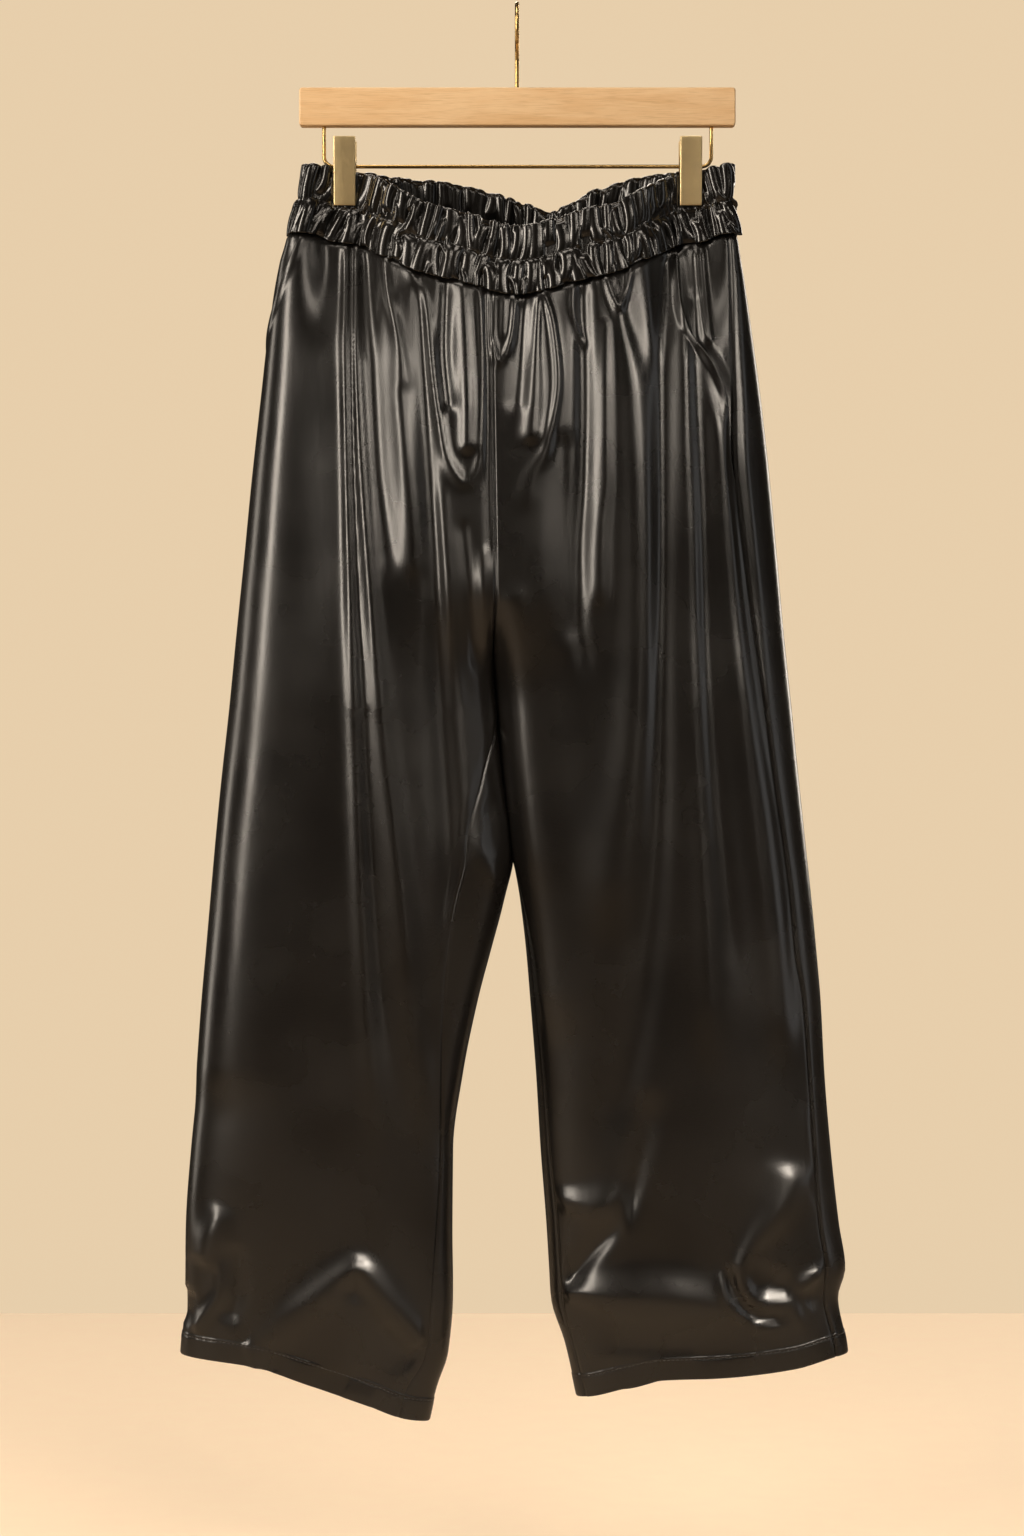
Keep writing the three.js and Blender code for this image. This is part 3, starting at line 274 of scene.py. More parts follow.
# Clips: each has two jaws of satin brass-plated sheet, pressed with turned-in sides and two ears.
# The ears ride on the rod, and a coil spring round it pushes the tops of the jaws apart.
CLIP_X = {"right": -141, "left": 140.5}
JAW = {"width": 18, "top": -108, "bottom": -163, "sheet": 1.2, "tilt": 6, "grip": 5.5, "back_shift": 1.5}
SIDE_FOLD = {"depth": 3.2, "radius": 1.1, "steps": 4}
HAIR = 0.01
SHEARED_END = ((0, 0.35), (0.25, 0.1), (0.7, 0), (3, 0))
EAR = {"radius": 3.7, "hole": 1.8, "inset": 1.5, "sweep": 1.57, "steps": 15, "flare": 2.4, "root": 1.2}
COIL = {"radius": 2.75, "wire": 0.5, "turns": 6.5, "steps": 20, "length": 9.6}
COIL_LEG = {"length": 13, "start": 1.5, "lean": 0.25, "steps": 5}


def jaw_section(half):
    depth = SIDE_FOLD["depth"]
    radius = SIDE_FOLD["radius"]
    outer = []
    for side in (-1, 1):
        corner = []
        for step in range(SIDE_FOLD["steps"] + 1):
            angle = math.radians(90 * step / SIDE_FOLD["steps"])
            x = side * (half - radius + radius * math.cos(angle))
            corner.append((x, radius - radius * math.sin(angle)))
        outer += [(side * half, depth)] + corner if side < 0 else corner[::-1] + [(side * half, depth)]
    inner = []
    for x, y in outer:
        if abs(x) > half - radius - HAIR:
            x = x - math.copysign(min(JAW["sheet"], abs(x)), x)
        inner.append((x, max(y, JAW["sheet"])))
    return outer + inner[::-1]


def jaw_mesh(back):
    half = JAW["width"] / 2 - (EAR["inset"] if back else 0)
    section = jaw_section(half)
    height = JAW["top"] - JAW["bottom"]
    tilt = math.tan(math.radians(JAW["tilt"]))
    points = []
    stations = [*SHEARED_END, (height / 2, 0), *((height - up, inset) for up, inset in SHEARED_END[::-1])]
    middle = np.mean(np.array(section), axis=0)
    for up, inset in stations:
        for x, y in section:
            x = x - math.copysign(min(abs(x), inset), x)
            y = y - inset * (y - middle[1]) / SIDE_FOLD["depth"]
            points.append((x, -JAW["grip"] - tilt * up - JAW["sheet"] + y, JAW["bottom"] + up))
    faces = rings_to_faces(len(stations), len(section))
    reach = JAW["grip"] + (ROD_Z - JAW["bottom"]) * tilt
    outline = [(-reach, EAR["radius"] + EAR["flare"])]
    for angle in np.linspace(EAR["sweep"], -EAR["sweep"], EAR["steps"]):
        outline.append((EAR["radius"] * math.cos(angle), EAR["radius"] * math.sin(angle)))
    outline += [(-reach, -EAR["radius"] - EAR["flare"]), (-reach, -EAR["root"]), (-reach, EAR["root"])]
    hole = [(EAR["hole"] * y / math.hypot(y, z), EAR["hole"] * z / math.hypot(y, z)) for y, z in outline]
    count = len(outline)
    for side in (-1, 1):
        a = len(points)
        b = a + 2 * count
        for x in (side * half, side * (half - JAW["sheet"])):
            points += [(x, y, ROD_Z + z) for y, z in outline + hole]
        for i in range(count):
            n = (i + 1) % count
            faces.append((a + i, a + n, a + count + n, a + count + i))
            faces.append((b + i, b + count + i, b + count + n, b + n))
            faces.append((a + i, b + i, b + n, a + n))
            faces.append((a + count + i, a + count + n, b + count + n, b + count + i))
    points = np.array(points)
    if back:
        points[:, :2] *= -1
    return points, faces


clip_brass = brass_finish("clip_brass", (0.86, 0.67, 0.36), 0.4, 0.05, 1500, 40, 0.00003)
for side in ("right", "left"):
    away = -1 if side == "right" else 1
    for face in ("front", "back"):
        jaw_points, jaw_faces = jaw_mesh(face == "back")
        jaw_points[:, 0] += CLIP_X[side] - (away * JAW["back_shift"] if face == "back" else 0)
        jaw = new_piece(f"clip_{side}_{face}_jaw_sheet", jaw_points, jaw_faces, [clip_brass])
        jaw.data.set_sharp_from_angle(angle=math.radians(40))
        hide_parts(f"clip_{side}_{face}_jaw")
    turns = np.linspace(0, COIL["turns"] * 2 * math.pi, int(COIL["turns"] * COIL["steps"]) + 1)
    coil = np.stack([np.linspace(-COIL["length"] / 2, COIL["length"] / 2, len(turns)),
                     -COIL["radius"] * np.cos(turns), COIL["radius"] * np.sin(turns)], axis=1)
    leg = np.linspace(COIL_LEG["length"], COIL_LEG["start"], COIL_LEG["steps"])
    out = COIL["radius"] + COIL_LEG["lean"] * leg
    first_leg = np.stack([np.full(len(leg), coil[0, 0]), -out, leg], axis=1)
    last_leg = np.stack([np.full(len(leg), coil[-1, 0]), out, leg], axis=1)[::-1]
    path = np.concatenate([first_leg, coil, last_leg])
    path[:, 0] += CLIP_X[side]
    path[:, 2] += ROD_Z
    spring_points, spring_faces = wire(path, np.array([1.0, 0, 0]), COIL["wire"])
    spring = new_piece(f"clip_{side}_spring_coil", spring_points, spring_faces, [wire_brass])
    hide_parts(f"clip_{side}_spring")

# Leg panels: two fronts and two backs in black faux leather, a thin knit with a glossy coating.
# They are sewn at the rise, the inseams and the side seams, and hang in folds from the waist seam.
# Each hem is turned up inside and stitched through.
RING_POWER = 2.4
CROTCH_Z = -572
RISE = {"front": {"top": -21, "crotch": -17, "top_z": -240},
        "back": {"top": 5, "crotch": -17, "top_z": -225}}
RISE_BLEND = {"height": 110, "power": 1.3}
PINCH = {"flat": 11, "half_width": 20, "depth": 3.5, "end": 300}
BAND_HEIGHT = 53
BAND_GRIP = {"depth": 3.2, "from": -2, "to": 5}
UNDER_BAND = 5
CLOTH = 1.0
SEAM_ROLL = {"depth": 1.3, "width": 2.4, "inseam": 0.45}
SEAM_FADE = 11
SEAM_COLUMNS = np.array([0, 0.5, 1.1, 1.8, 2.6, 3.8]) / 300
HEM_ROWS = (20, 19, 18.3, 17.7, 17.1, 16.5, 15.9, 15.3, 14.5, 12, 9.5, 7, 4.5, 2.4, 1.0, 0.3, 0)
HEM_STITCH = {"up": 16.5, "depth": 0.4, "width": 0.8}
HEM_TURNING = {"full": 17.2, "end": 19, "outside": 0.7, "inside": 0.3, "edge": 0.5}
HEM_PUCKER = {"up": 15, "width": 5, "wave": (0.18, 1.3, 2, 7)}
LEVELS = np.arange(-1160.0, -178.0, 2.0)
ARC_STEPS = 160
SETTLING = {"from": -400.0, "rounds": 8}

# Sections of the hips: height, right, left, half depth in front and behind, seams ahead of the sides.
HIPS = np.array([
    (-130, -174, 173, 30, 25, -18, 6),
    (-158, -179, 174, 32, 27, -19, 7),
    (-186, -186.5, 178.5, 34, 30, -20, 8),
    (-258, -200, 188.7, 42, 38, -22, 16),
    (-322, -206.6, 196.8, 49, 46, -25, 23),
    (-387, -213, 204, 54, 51, -26, 29),
    (-452, -218.7, 210.6, 56, 54, -25, 28),
    (-517, -225, 217, 55, 53, -25, 26),
    (-572, -230, 222.8, 52, 50, -24, 24),
])
# Sections of each leg: height, outer side, inner side, half depth, side seam and inseam ahead.
LEGS = {
    "right": np.array([
        (-462, -219.7, -27.5, 53, -25, 0), (-517, -225, -22.6, 52, -25, 0),
        (-572, -230, -17, 51, -24, 0), (-626, -235.7, -11, 50, -22, 17),
        (-687, -241.8, -3.6, 49, -20, 38), (-727, -245.8, -12, 48, -19, 38),
        (-768, -250, -22.7, 47, -18, 34), (-808, -254.3, -33, 46, -17, 27),
        (-869, -260, -45.5, 45, -16, 16), (-930, -265.7, -54, 44, -15, 8),
        (-991, -269.7, -54.5, 42, -14, 11), (-1051, -270.5, -53.5, 38, -12, 16),
        (-1096, -273.8, -57, 32, -11, 18), (-1124, -275, -66.4, 29, -10, 24),
        (-1151, -276, -73, 27, -10, 26),
    ]),
    "left": np.array([
        (-462, 211.5, -27.5, 53, 28, 0), (-517, 217, -22.6, 52, 26, 0),
        (-572, 222.8, -17, 51, 24, 0), (-626, 228, -11.6, 50, 22, 0),
        (-687, 234, -4.6, 49, 19, 0), (-727, 238, 2.4, 48, 18, 1),
        (-768, 241.8, 7.3, 47, 18, 3), (-808, 245.4, 10.5, 46, 15, 4),
        (-869, 249, 15, 45, 14, 6), (-930, 254.3, 18.6, 44, 15, 7),
        (-991, 260.8, 23.6, 42, 17, 8), (-1027, 265.7, 26, 40, 17, 8),
        (-1051, 260, 27.5, 37, 12, 8), (-1088, 266.5, 39, 32, 10, 6),
        (-1131, 271, 48.6, 27, 10, 7),
    ]),
}
# The waistband's top edge and the hems: height at each x.
BAND_TOP = {
    "front": [(-178, -132), (-164, -134), (-152, -138.5), (-130, -142), (-109, -153), (-82, -167),
              (-47, -176), (0, -187), (47, -176), (82, -167), (109, -153), (130, -142),
              (152, -138.5), (164, -134), (178, -132)],
    "back": [(-178, -132), (-164, -134), (-152, -136.5), (-128, -137.5), (-110, -138.5), (-74, -141),
             (-43, -146), (-18, -152), (8, -160), (26, -165), (40, -160), (54, -152), (70, -146),
             (88, -141), (110, -138.5), (128, -137.5), (152, -136.5), (164, -134), (178, -132)],
}
HEM = {
    "right": {
        "front": [(-276, -1096), (-219, -1102), (-170, -1117), (-121, -1135), (-99, -1144.5), (-73, -1151)],
        "back": [(-276, -1096), (-219, -1099), (-170, -1108), (-128, -1124), (-99, -1144.5), (-73, -1151)],
    },
    "left": {
        "front": [(48, -1131), (56, -1130), (87, -1121), (117, -1114), (165, -1112), (224, -1105),
                  (253, -1098), (271, -1095)],
        "back": [(48, -1131), (56, -1130), (87, -1131), (117, -1125), (165, -1114), (224, -1105),
                 (253, -1098), (271, -1095)],
    },
}
# Pocket mouth: height, and how far its edge lies in front of the side seam.
MOUTH = [(-186, 44), (-243, 41), (-266, 36), (-282, 26), (-294, 18), (-308, 11), (-324, 6), (-362, 3.5),
         (-390, 0)]
MOUTH_LIFT = {"right": 0.7, "left": 2.0, "width": 9}
MOUTH_EDGE = {"proud": 0.5, "turned_in": (5.5, 7), "roll": 1.1, "roll_width": 1.4, "opens": 8, "free": 12}

# Folds, each along a path seen from the front: x, z, height out of the cloth or depth into it, width.
# A fold's end that lies below FOLD_FADE["below"] dies away in the cloth.
FOLD_FADE = {"below": -280, "share": 0.1}
FOLD_STEPS = 6
FOLD_REACH = 3
FRONT_FOLDS = [
    [(-190, -211, 1.6, 12), (-194, -322, 4, 18), (-201, -452, 6, 24),
     (-217, -614, 7, 30), (-233, -808, 5, 34), (-240, -906, 2, 34)],
    [(-139, -193, 3, 4), (-139, -266, 3, 4), (-137, -355, 3, 4.2), (-134, -452, 3, 5),
     (-131, -565, 3.4, 6.5), (-126, -695, 4, 8), (-120, -816, 3.8, 10), (-110, -954, 2, 11)],
    [(-135, -194, -1.6, 1.6), (-134, -266, -1.8, 1.6), (-133, -355, -1.8, 1.6), (-129, -468, -1.8, 2),
     (-123, -582, -2, 3.4), (-117, -711, -2.2, 6), (-105, -889, -2, 8)],
    [(-131, -197, 3.4, 4), (-130, -266, 3.4, 4), (-126, -355, 3.4, 4.6), (-118, -468, 4, 5.4),
     (-109, -582, 4, 7), (-97, -695, 4.2, 9), (-86, -808, 4, 11), (-75, -938, 3, 10)],
    [(-122, -202, -2.6, 5), (-117, -290, -3, 7), (-112, -379, -3, 7), (-100, -476, -2, 8)],
    [(-108, -202, 2.2, 3), (-104, -241, 2.2, 3), (-94, -282, 2, 4), (-89, -322, 1, 6)],
    [(-99, -241, 1.5, 6), (-94, -322, 4, 8), (-89, -379, 5, 9), (-85, -428, 4, 10), (-83, -476, 1.5, 11)],
    [(-79, -221, -2.6, 6), (-76, -306, -3.4, 6), (-71, -387, -4, 6.5), (-66, -468, -4, 8),
     (-62, -565, -4, 9), (-55, -679, -3.6, 9), (-53, -776, -2.6, 9)],
    [(-94, -213, 1.5, 4), (-76, -241, 2.4, 3.6), (-69, -298, 2.6, 3.4), (-62, -347, 2.8, 3.6),
     (-58, -369, 3, 4), (-51, -385, 2.8, 4.4), (-43, -393, 2.4, 4.8), (-35, -388, 2.2, 4.4),
     (-30, -367, 2.2, 3.6), (-28, -311, 1.8, 3), (-31, -233, 1.4, 3)],
    [(-58, -228, -3.4, 5), (-60, -282, -4, 5), (-55, -339, -3.6, 5)],
    [(-45, -232, 2.4, 5), (-42, -282, 3, 6), (-40, -339, 4.6, 7), (-40, -373, 4.6, 7)],
    [(-62, -387, 1, 5), (-58, -452, 2, 5), (-52, -533, 2, 6), (-45, -630, 2, 8), (-39, -711, 2, 8)],
    [(-45, -420, -2, 5), (-39, -476, -2.2, 5), (-32, -549, -2, 5)],
    [(-28, -440, 1, 4), (-27, -488, 3, 5), (-28, -525, 1, 5)],
    [(-25, -233, -2.4, 3), (-24, -339, -2.4, 3), (-23, -420, -2, 3), (-21, -464, -0.6, 3)],
    [(-22, -233, 2, 2.6), (-22, -266, 2.4, 2.6), (-19, -288, 2.6, 2.8), (-15, -296, 2.4, 3),
     (-9, -287, 2.4, 2.8), (-4, -266, 2.2, 2.6), (-2, -232, 2, 2.6)],
    [(-11, -235, 1.8, 2.6), (-12, -274, 1, 2.6)],
    [(5, -238, -3, 4), (2, -282, -3, 5), (-2, -339, -2, 8)],
    [(19, -235, 3, 3), (28, -266, 3, 3.4), (32, -310, 3.2, 3.6), (28, -343, 3.4, 4),
     (22, -367, 3.4, 5), (11, -387, 2.6, 8), (3, -420, 1.6, 10)],
    [(17, -235, 2.6, 3), (15, -274, 2.6, 3.6), (13, -322, 4, 7), (10, -367, 5, 10)],
    [(45, -232, 1.8, 3), (44, -249, 2, 3), (49, -272, 1.8, 3), (55, -284, 1, 3)],
    [(52, -229, -5, 7), (53, -322, -6, 7.5), (52, -387, -6.5, 7.5),
     (49, -452, -5.4, 7.5), (49, -501, -3.6, 8), (57, -557, -1.2, 8)],
    [(36, -347, -3, 8), (36, -436, -3.4, 10), (39, -525, -1.4, 12)],
    [(71, -228, 2, 3), (74, -241, 2.4, 3), (80, -251, 2.4, 3), (86, -241, 2.4, 3), (90, -220, 2, 3)],
    [(71, -266, 1.8, 5), (70, -322, 2.4, 5), (70, -387, 2.6, 6), (66, -436, 2.8, 7), (65, -501, 2.6, 8)],
    [(76, -215, 2, 5), (81, -256, 3, 6), (92, -322, 4.6, 12), (96, -420, 5, 14),
     (97, -517, 5, 16), (94, -598, 5, 17), (83, -679, 4, 20), (71, -768, 3, 22)],
    [(118, -211, -4, 9), (117, -322, -5.5, 9), (116, -436, -6, 9), (114, -549, -6, 10),
     (112, -646, -6, 12), (104, -760, -5, 15), (89, -857, -4, 16), (66, -946, -3, 14)],
    [(130, -205, 2.4, 4), (133, -266, 2, 5), (134, -355, 2, 6), (138, -452, 2.2, 7),
     (141, -565, 2.4, 8), (147, -679, 3, 9), (152, -776, 3.4, 11), (154, -873, 3, 12)],
    [(143, -241, -2, 5), (146, -322, -2, 6), (149, -403, -2.4, 6), (151, -501, -2.4, 6),
     (156, -598, -2.4, 7), (164, -703, -2.4, 9), (175, -808, -2.4, 10)],
    [(145, -202, 2, 2.2), (147, -241, 2, 2.2), (151, -282, 1.6, 2.4)],
    [(150, -201, 2, 2.2), (152, -241, 2, 2.2), (155, -282, 1.4, 2.4)],
    [(157, -306, 3.4, 6), (164, -387, 4.4, 8), (171, -484, 4.4, 9), (181, -582, 4.4, 10),
     (194, -679, 4.4, 12), (206, -776, 4, 12), (214, -873, 3.4, 12)],
    [(-8, -468, 2, 12), (1, -517, 5, 15), (8, -614, 6, 18), (19, -727, 5, 22), (31, -849, 3, 24)],
    [(-225, -1100, 2, 12), (-197, -1077, 4, 13), (-177, -1060, 5.4, 14), (-151, -1038, 6.6, 13),
     (-130, -1022, 7.4, 9), (-111, -1042, 6.8, 11), (-96, -1062, 6.2, 11), (-82, -1078, 5, 9),
     (-65, -1093, 3, 6)],
    [(-131, -1043, 2.4, 14), (-139, -1066, 3.4, 20), (-146, -1110, 2.6, 24)],
    [(-109, -1066, -1.4, 8), (-100, -1084, -2.4, 11), (-97, -1110, -2, 12)],
    [(-79, -1088, -2.4, 5), (-92, -1100, -2, 7)],
    [(-237, -974, 2, 8), (-245, -999, 5, 12), (-251, -1022, 4.4, 10)],
    [(-238, -1016, 2, 4), (-238, -1039, 4, 5), (-249, -1059, 4, 5), (-262, -1077, 3, 5)],
    [(-227, -1003, -3, 7), (-227, -1039, -4.5, 9), (-235, -1068, -3.4, 9)],
    [(-266, -1043, -2.5, 7), (-269, -1069, -3, 6)],
    [(-217, -1081, 1.6, 5), (-211, -1106, 2.2, 5)],
    [(-201, -1082, -1.2, 6), (-198, -1108, -1.4, 6)],
    [(-185, -1102, 1, 7), (-160, -1110, 1.2, 8)],
    [(-140, -1120, 1.4, 8), (-116, -1131, 1.4, 8)],
    [(21, -964, 2, 3), (45, -970, 4, 9), (68, -974, 5.4, 15), (92, -975, 4, 17)],
    [(109, -873, -2, 13), (96, -930, -4, 11), (87, -966, -5, 9),
     (75, -988, -5, 8.5), (55, -1013, -5, 8), (34, -1043, -4, 7)],
    [(26, -1044, 3, 4), (50, -1044, 5.6, 9), (75, -1046, 8, 16),
     (119, -1048, 9, 20), (157, -1053, 6.4, 17), (190, -1058, 3, 14)],
    [(66, -1085, -1.2, 10), (131, -1087, -1.4, 12), (180, -1084, -1.2, 11)],
    [(54, -1094, 1.2, 5), (99, -1095, 1.4, 5), (147, -1094, 1.2, 5)],
    [(225, -935, 3, 18), (219, -954, 5, 16), (207, -977, 6.4, 13), (187, -1004, 5.4, 8),
     (179, -1025, 5.4, 7), (184, -1042, 6, 6), (200, -1053, 4.8, 7), (216, -1052, 3.8, 7),
     (224, -1064, 3.4, 6), (226, -1077, 2, 6)],
    [(204, -1021, -3.4, 9), (202, -1034, -4, 8), (220, -1037, -3, 7)],
    [(169, -1021, -3, 6), (171, -1038, -3.4, 5), (181, -1053, -3.4, 5),
     (196, -1061, -3.4, 5), (212, -1059, -3, 4.5)],
    [(160, -1021, 2, 5), (167, -1043, 3.4, 5), (177, -1058, 3.6, 5),
     (194, -1069, 3.4, 5.5), (209, -1071, 2.4, 6), (220, -1064, 2, 5)],
    [(222, -1040, 3, 4.5), (237, -1030, 4, 4.5), (251, -1024, 4.4, 4.5), (266, -1022, 4, 5)],
    [(233, -1051, -3, 7), (246, -1043, -3, 6)],
    [(256, -1032, 2, 3), (258, -1076, 2.4, 3.4)],
    [(241, -978, 2, 7), (246, -954, 2.6, 9), (238, -889, 2, 12)],
]
BACK_FOLDS = [
    [(-156, -211, 4, 14), (-160, -339, 5, 16), (-162, -517, 5, 18), (-172, -727, 4, 20)],
    [(-136, -206, -3, 8), (-134, -339, -5, 9), (-131, -484, -4, 10), (-126, -646, -3, 12)],
    [(-113, -211, 4, 6), (-112, -290, 4, 7), (-107, -379, 3.4, 8), (-102, -484, 2.4, 10)],
    [(-102, -211, -2, 4), (-99, -282, -2.4, 4), (-92, -355, -2, 5)],
    [(-86, -211, 5, 9), (-83, -306, 5.4, 10), (-73, -403, 5, 11), (-63, -484, 3, 14)],
    [(-66, -213, -2.6, 5), (-63, -290, -3, 6), (-55, -355, -3, 7)],
    [(-53, -215, -4, 7), (-50, -322, -4, 7), (-40, -420, -3.6, 8), (-31, -517, -2, 8)],
    [(-39, -217, 2, 5), (-37, -274, 2.6, 5), (-32, -330, 2.4, 5)],
    [(-23, -221, 4.6, 8), (-23, -306, 5, 9), (-18, -379, 5.4, 10), (-12, -428, 4, 10)],
    [(5, -222, -4, 6), (-2, -403, -4, 5), (-15, -517, -4, 5), (-17, -570, -4, 5)],
    [(34, -222, 4.6, 8), (31, -306, 5, 9), (21, -387, 5.4, 10), (11, -444, 4, 11)],
    [(50, -219, -3, 5), (52, -290, -3.4, 6), (47, -371, -3, 7)],
    [(66, -215, -4, 8), (65, -339, -5, 9), (58, -452, -4, 9), (53, -549, -2.4, 10)],
    [(81, -214, 2.4, 5), (83, -274, 2.6, 5), (81, -355, 2.2, 6)],
    [(96, -211, 5, 10), (99, -339, 6, 12), (102, -484, 5, 14), (105, -630, 4.4, 17), (99, -792, 3, 20)],
    [(115, -209, -2.4, 5), (117, -306, -2.6, 6), (118, -387, -2, 7)],
    [(128, -206, -4.4, 9), (131, -339, -6, 10), (138, -501, -5, 12),
     (141, -663, -4, 14), (139, -808, -3, 16)],
    [(147, -211, 2.6, 5), (151, -306, 3, 6), (157, -403, 2.8, 7), (165, -517, 2.6, 9)],
    [(166, -225, 3.4, 11), (172, -339, 4, 13), (180, -501, 4, 14),
     (186, -727, 3.4, 16), (190, -873, 2.6, 16)],
    [(-97, -620, -4, 15), (-104, -776, -5, 17), (-110, -938, -3.6, 17)],
    [(-76, -646, 3, 10), (-71, -760, 3, 12), (-76, -873, 2.6, 12)],
    [(-134, -695, 3, 14), (-141, -825, 3.4, 16), (-143, -922, 2.4, 16)],
    [(70, -620, -4.4, 14), (83, -776, -5, 16), (91, -938, -3.6, 16)],
    [(45, -646, 3, 11), (55, -776, 3, 13), (63, -889, 2.4, 13)],
    [(-232, -1062, 3, 12), (-185, -1043, 4.4, 11), (-140, -1014, 7, 10),
     (-126, -1021, 6.4, 9), (-109, -1048, 5, 9), (-89, -1082, 4, 9)],
    [(-201, -1021, -3, 12), (-152, -1000, -3.4, 11), (-118, -1006, -3.4, 10), (-97, -1043, -3, 9)],
    [(-144, -1051, -2.4, 12), (-152, -1092, -2.4, 14)],
    [(-237, -1003, 2.4, 7), (-240, -1035, 3.4, 7), (-254, -1059, 3, 7)],
    [(-39, -666, 2, 3), (-30, -692, 2.2, 4), (-12, -718, 1, 5)],
    [(-24, -646, -2, 5), (-19, -687, -1.5, 6)],
    [(70, -1051, 4.6, 10), (131, -1044, 6, 11), (190, -1056, 5, 10)],
    [(190, -1056, 4, 9), (209, -1035, 4.6, 8), (222, -991, 3, 9)],
    [(83, -1087, -3, 11), (147, -1087, -3.4, 12), (196, -1084, -2.4, 11)],
    [(66, -1000, -2.6, 11), (115, -1000, -3, 12), (164, -1003, -2.4, 12)],
]


def lerp(start, end, share):
    return start + (end - start) * share


def smooth(value, low, high):
    share = np.clip((value - low) / (high - low), 0, 1)
    return share * share * (3 - 2 * share)


def fade(value, low, high):
    return 1 - smooth(value, low, high)


def curve_through(places, values):
    order = np.argsort(places)
    x = np.array(places, float)[order]
    y = np.array(values, float)[order]
    span = np.diff(x)
    rise = np.diff(y) / span
    before = np.concatenate([rise[:1], rise])
    after = np.concatenate([rise, rise[-1:]])
    same = before * after > 0
    slope = np.where(same, 2 * before * after / np.where(same, before + after, 1), 0)

    def read(at):
        at = np.clip(at, x[0], x[-1])
        i = np.clip(np.searchsorted(x, at) - 1, 0, len(span) - 1)
        t = (at - x[i]) / span[i]
        ends = (1 - t) ** 2 * (1 + 2 * t) * y[i] + t ** 2 * (3 - 2 * t) * y[i + 1]
        return ends + span[i] * t * (1 - t) * ((1 - t) * slope[i] - t * slope[i + 1])
    return read


hip_right, hip_left, hip_front, hip_back, seam_right, seam_left = (
    curve_through(HIPS[:, 0], HIPS[:, column]) for column in range(1, 7))
leg_outer, leg_inner, leg_depth, leg_side, leg_inseam = (
    {side: curve_through(table[:, 0], table[:, column]) for side, table in LEGS.items()}
    for column in range(1, 6))
band_top = {face: curve_through(*zip(*BAND_TOP[face])) for face in BAND_TOP}
hem_height = {side: {face: curve_through(*zip(*HEM[side][face])) for face in HEM[side]} for side in HEM}
mouth_curve = curve_through(*zip(*MOUTH))


def waist_seam(face, x):
    return band_top[face](x) - BAND_HEIGHT


def rounded(value):
    return np.sign(value) * np.abs(value) ** (2 / RING_POWER)


def angle_of(share):
    return np.arccos(np.clip(np.sign(share) * np.abs(share) ** (RING_POWER / 2), -1, 1))


def seam_angle(ahead, half_width):
    return np.sign(ahead) * angle_of(1 - np.abs(ahead) / half_width)


def hip_span(z):
    return (hip_left(z) + hip_right(z)) / 2, (hip_left(z) - hip_right(z)) / 2


def hip_point(angle, z):
    middle, half_width = hip_span(z)
    sine = rounded(np.sin(angle))
    x = middle + half_width * rounded(np.cos(angle))
    y = -np.where(sine > 0, hip_front(z), hip_back(z)) * sine
    clip_x = np.where(x < 0, CLIP_X["right"], CLIP_X["left"])
    beyond = np.maximum(0, np.abs(x - clip_x) - PINCH["flat"])
    share = np.exp(-(beyond / PINCH["half_width"]) ** 2) * fade(-z, -JAW["bottom"], PINCH["end"])
    return x, lerp(y, np.sign(y) * np.minimum(np.abs(y), PINCH["depth"]), share)


def leg_point(side, angle, z):
    middle = (leg_outer[side](z) + leg_inner[side](z)) / 2
    x = middle + (leg_inner[side](z) - middle) * rounded(np.cos(angle))
    return x, -leg_depth[side](z) * rounded(np.sin(angle))


def hip_ends(side, face, z):
    rise = RISE[face]
    rise_x = lerp(rise["top"], rise["crotch"], smooth(-z, -rise["top_z"], -CROTCH_Z))
    middle, half_width = hip_span(z)
    at_rise = angle_of((rise_x - middle) / half_width)
    at_left = seam_angle(seam_left(z), half_width)
    at_right = math.pi - seam_angle(seam_right(z), half_width)
    if face == "front":
        return at_rise, at_left if side == "left" else at_right
    return (-at_rise, at_left) if side == "left" else (2 * math.pi - at_rise, at_right)


def leg_ends(side, face, z):
    half_width = np.abs(leg_outer[side](z) - leg_inner[side](z)) / 2
    at_inseam = seam_angle(leg_inseam[side](z), half_width)
    at_side = math.pi - seam_angle(leg_side[side](z), half_width)
    return at_inseam, at_side if face == "front" else at_side - 2 * math.pi


def mouth_ahead(z):
    return np.where(z < MOUTH[-1][0], 0, mouth_curve(z))


def lay_out(point_at, ends, across, ahead):
    start, end = ends
    angles = start[:, None] + (end - start)[:, None] * np.linspace(0, 1, ARC_STEPS + 1)
    x, y = point_at(angles, LEVELS[:, None])
    lengths = np.cumsum(np.hypot(np.diff(x, axis=1), np.diff(y, axis=1)), axis=1)
    lengths = np.concatenate([np.zeros((len(LEVELS), 1)), lengths], axis=1)
    total = lengths[:, -1:]
    ahead = ahead[:, None]
    place = np.where(across <= 1, across * (total - ahead), total - ahead + (across - 1) * ahead)
    found = np.stack([np.interp(*row) for row in zip(place, lengths, angles)])
    return found, place, total - place


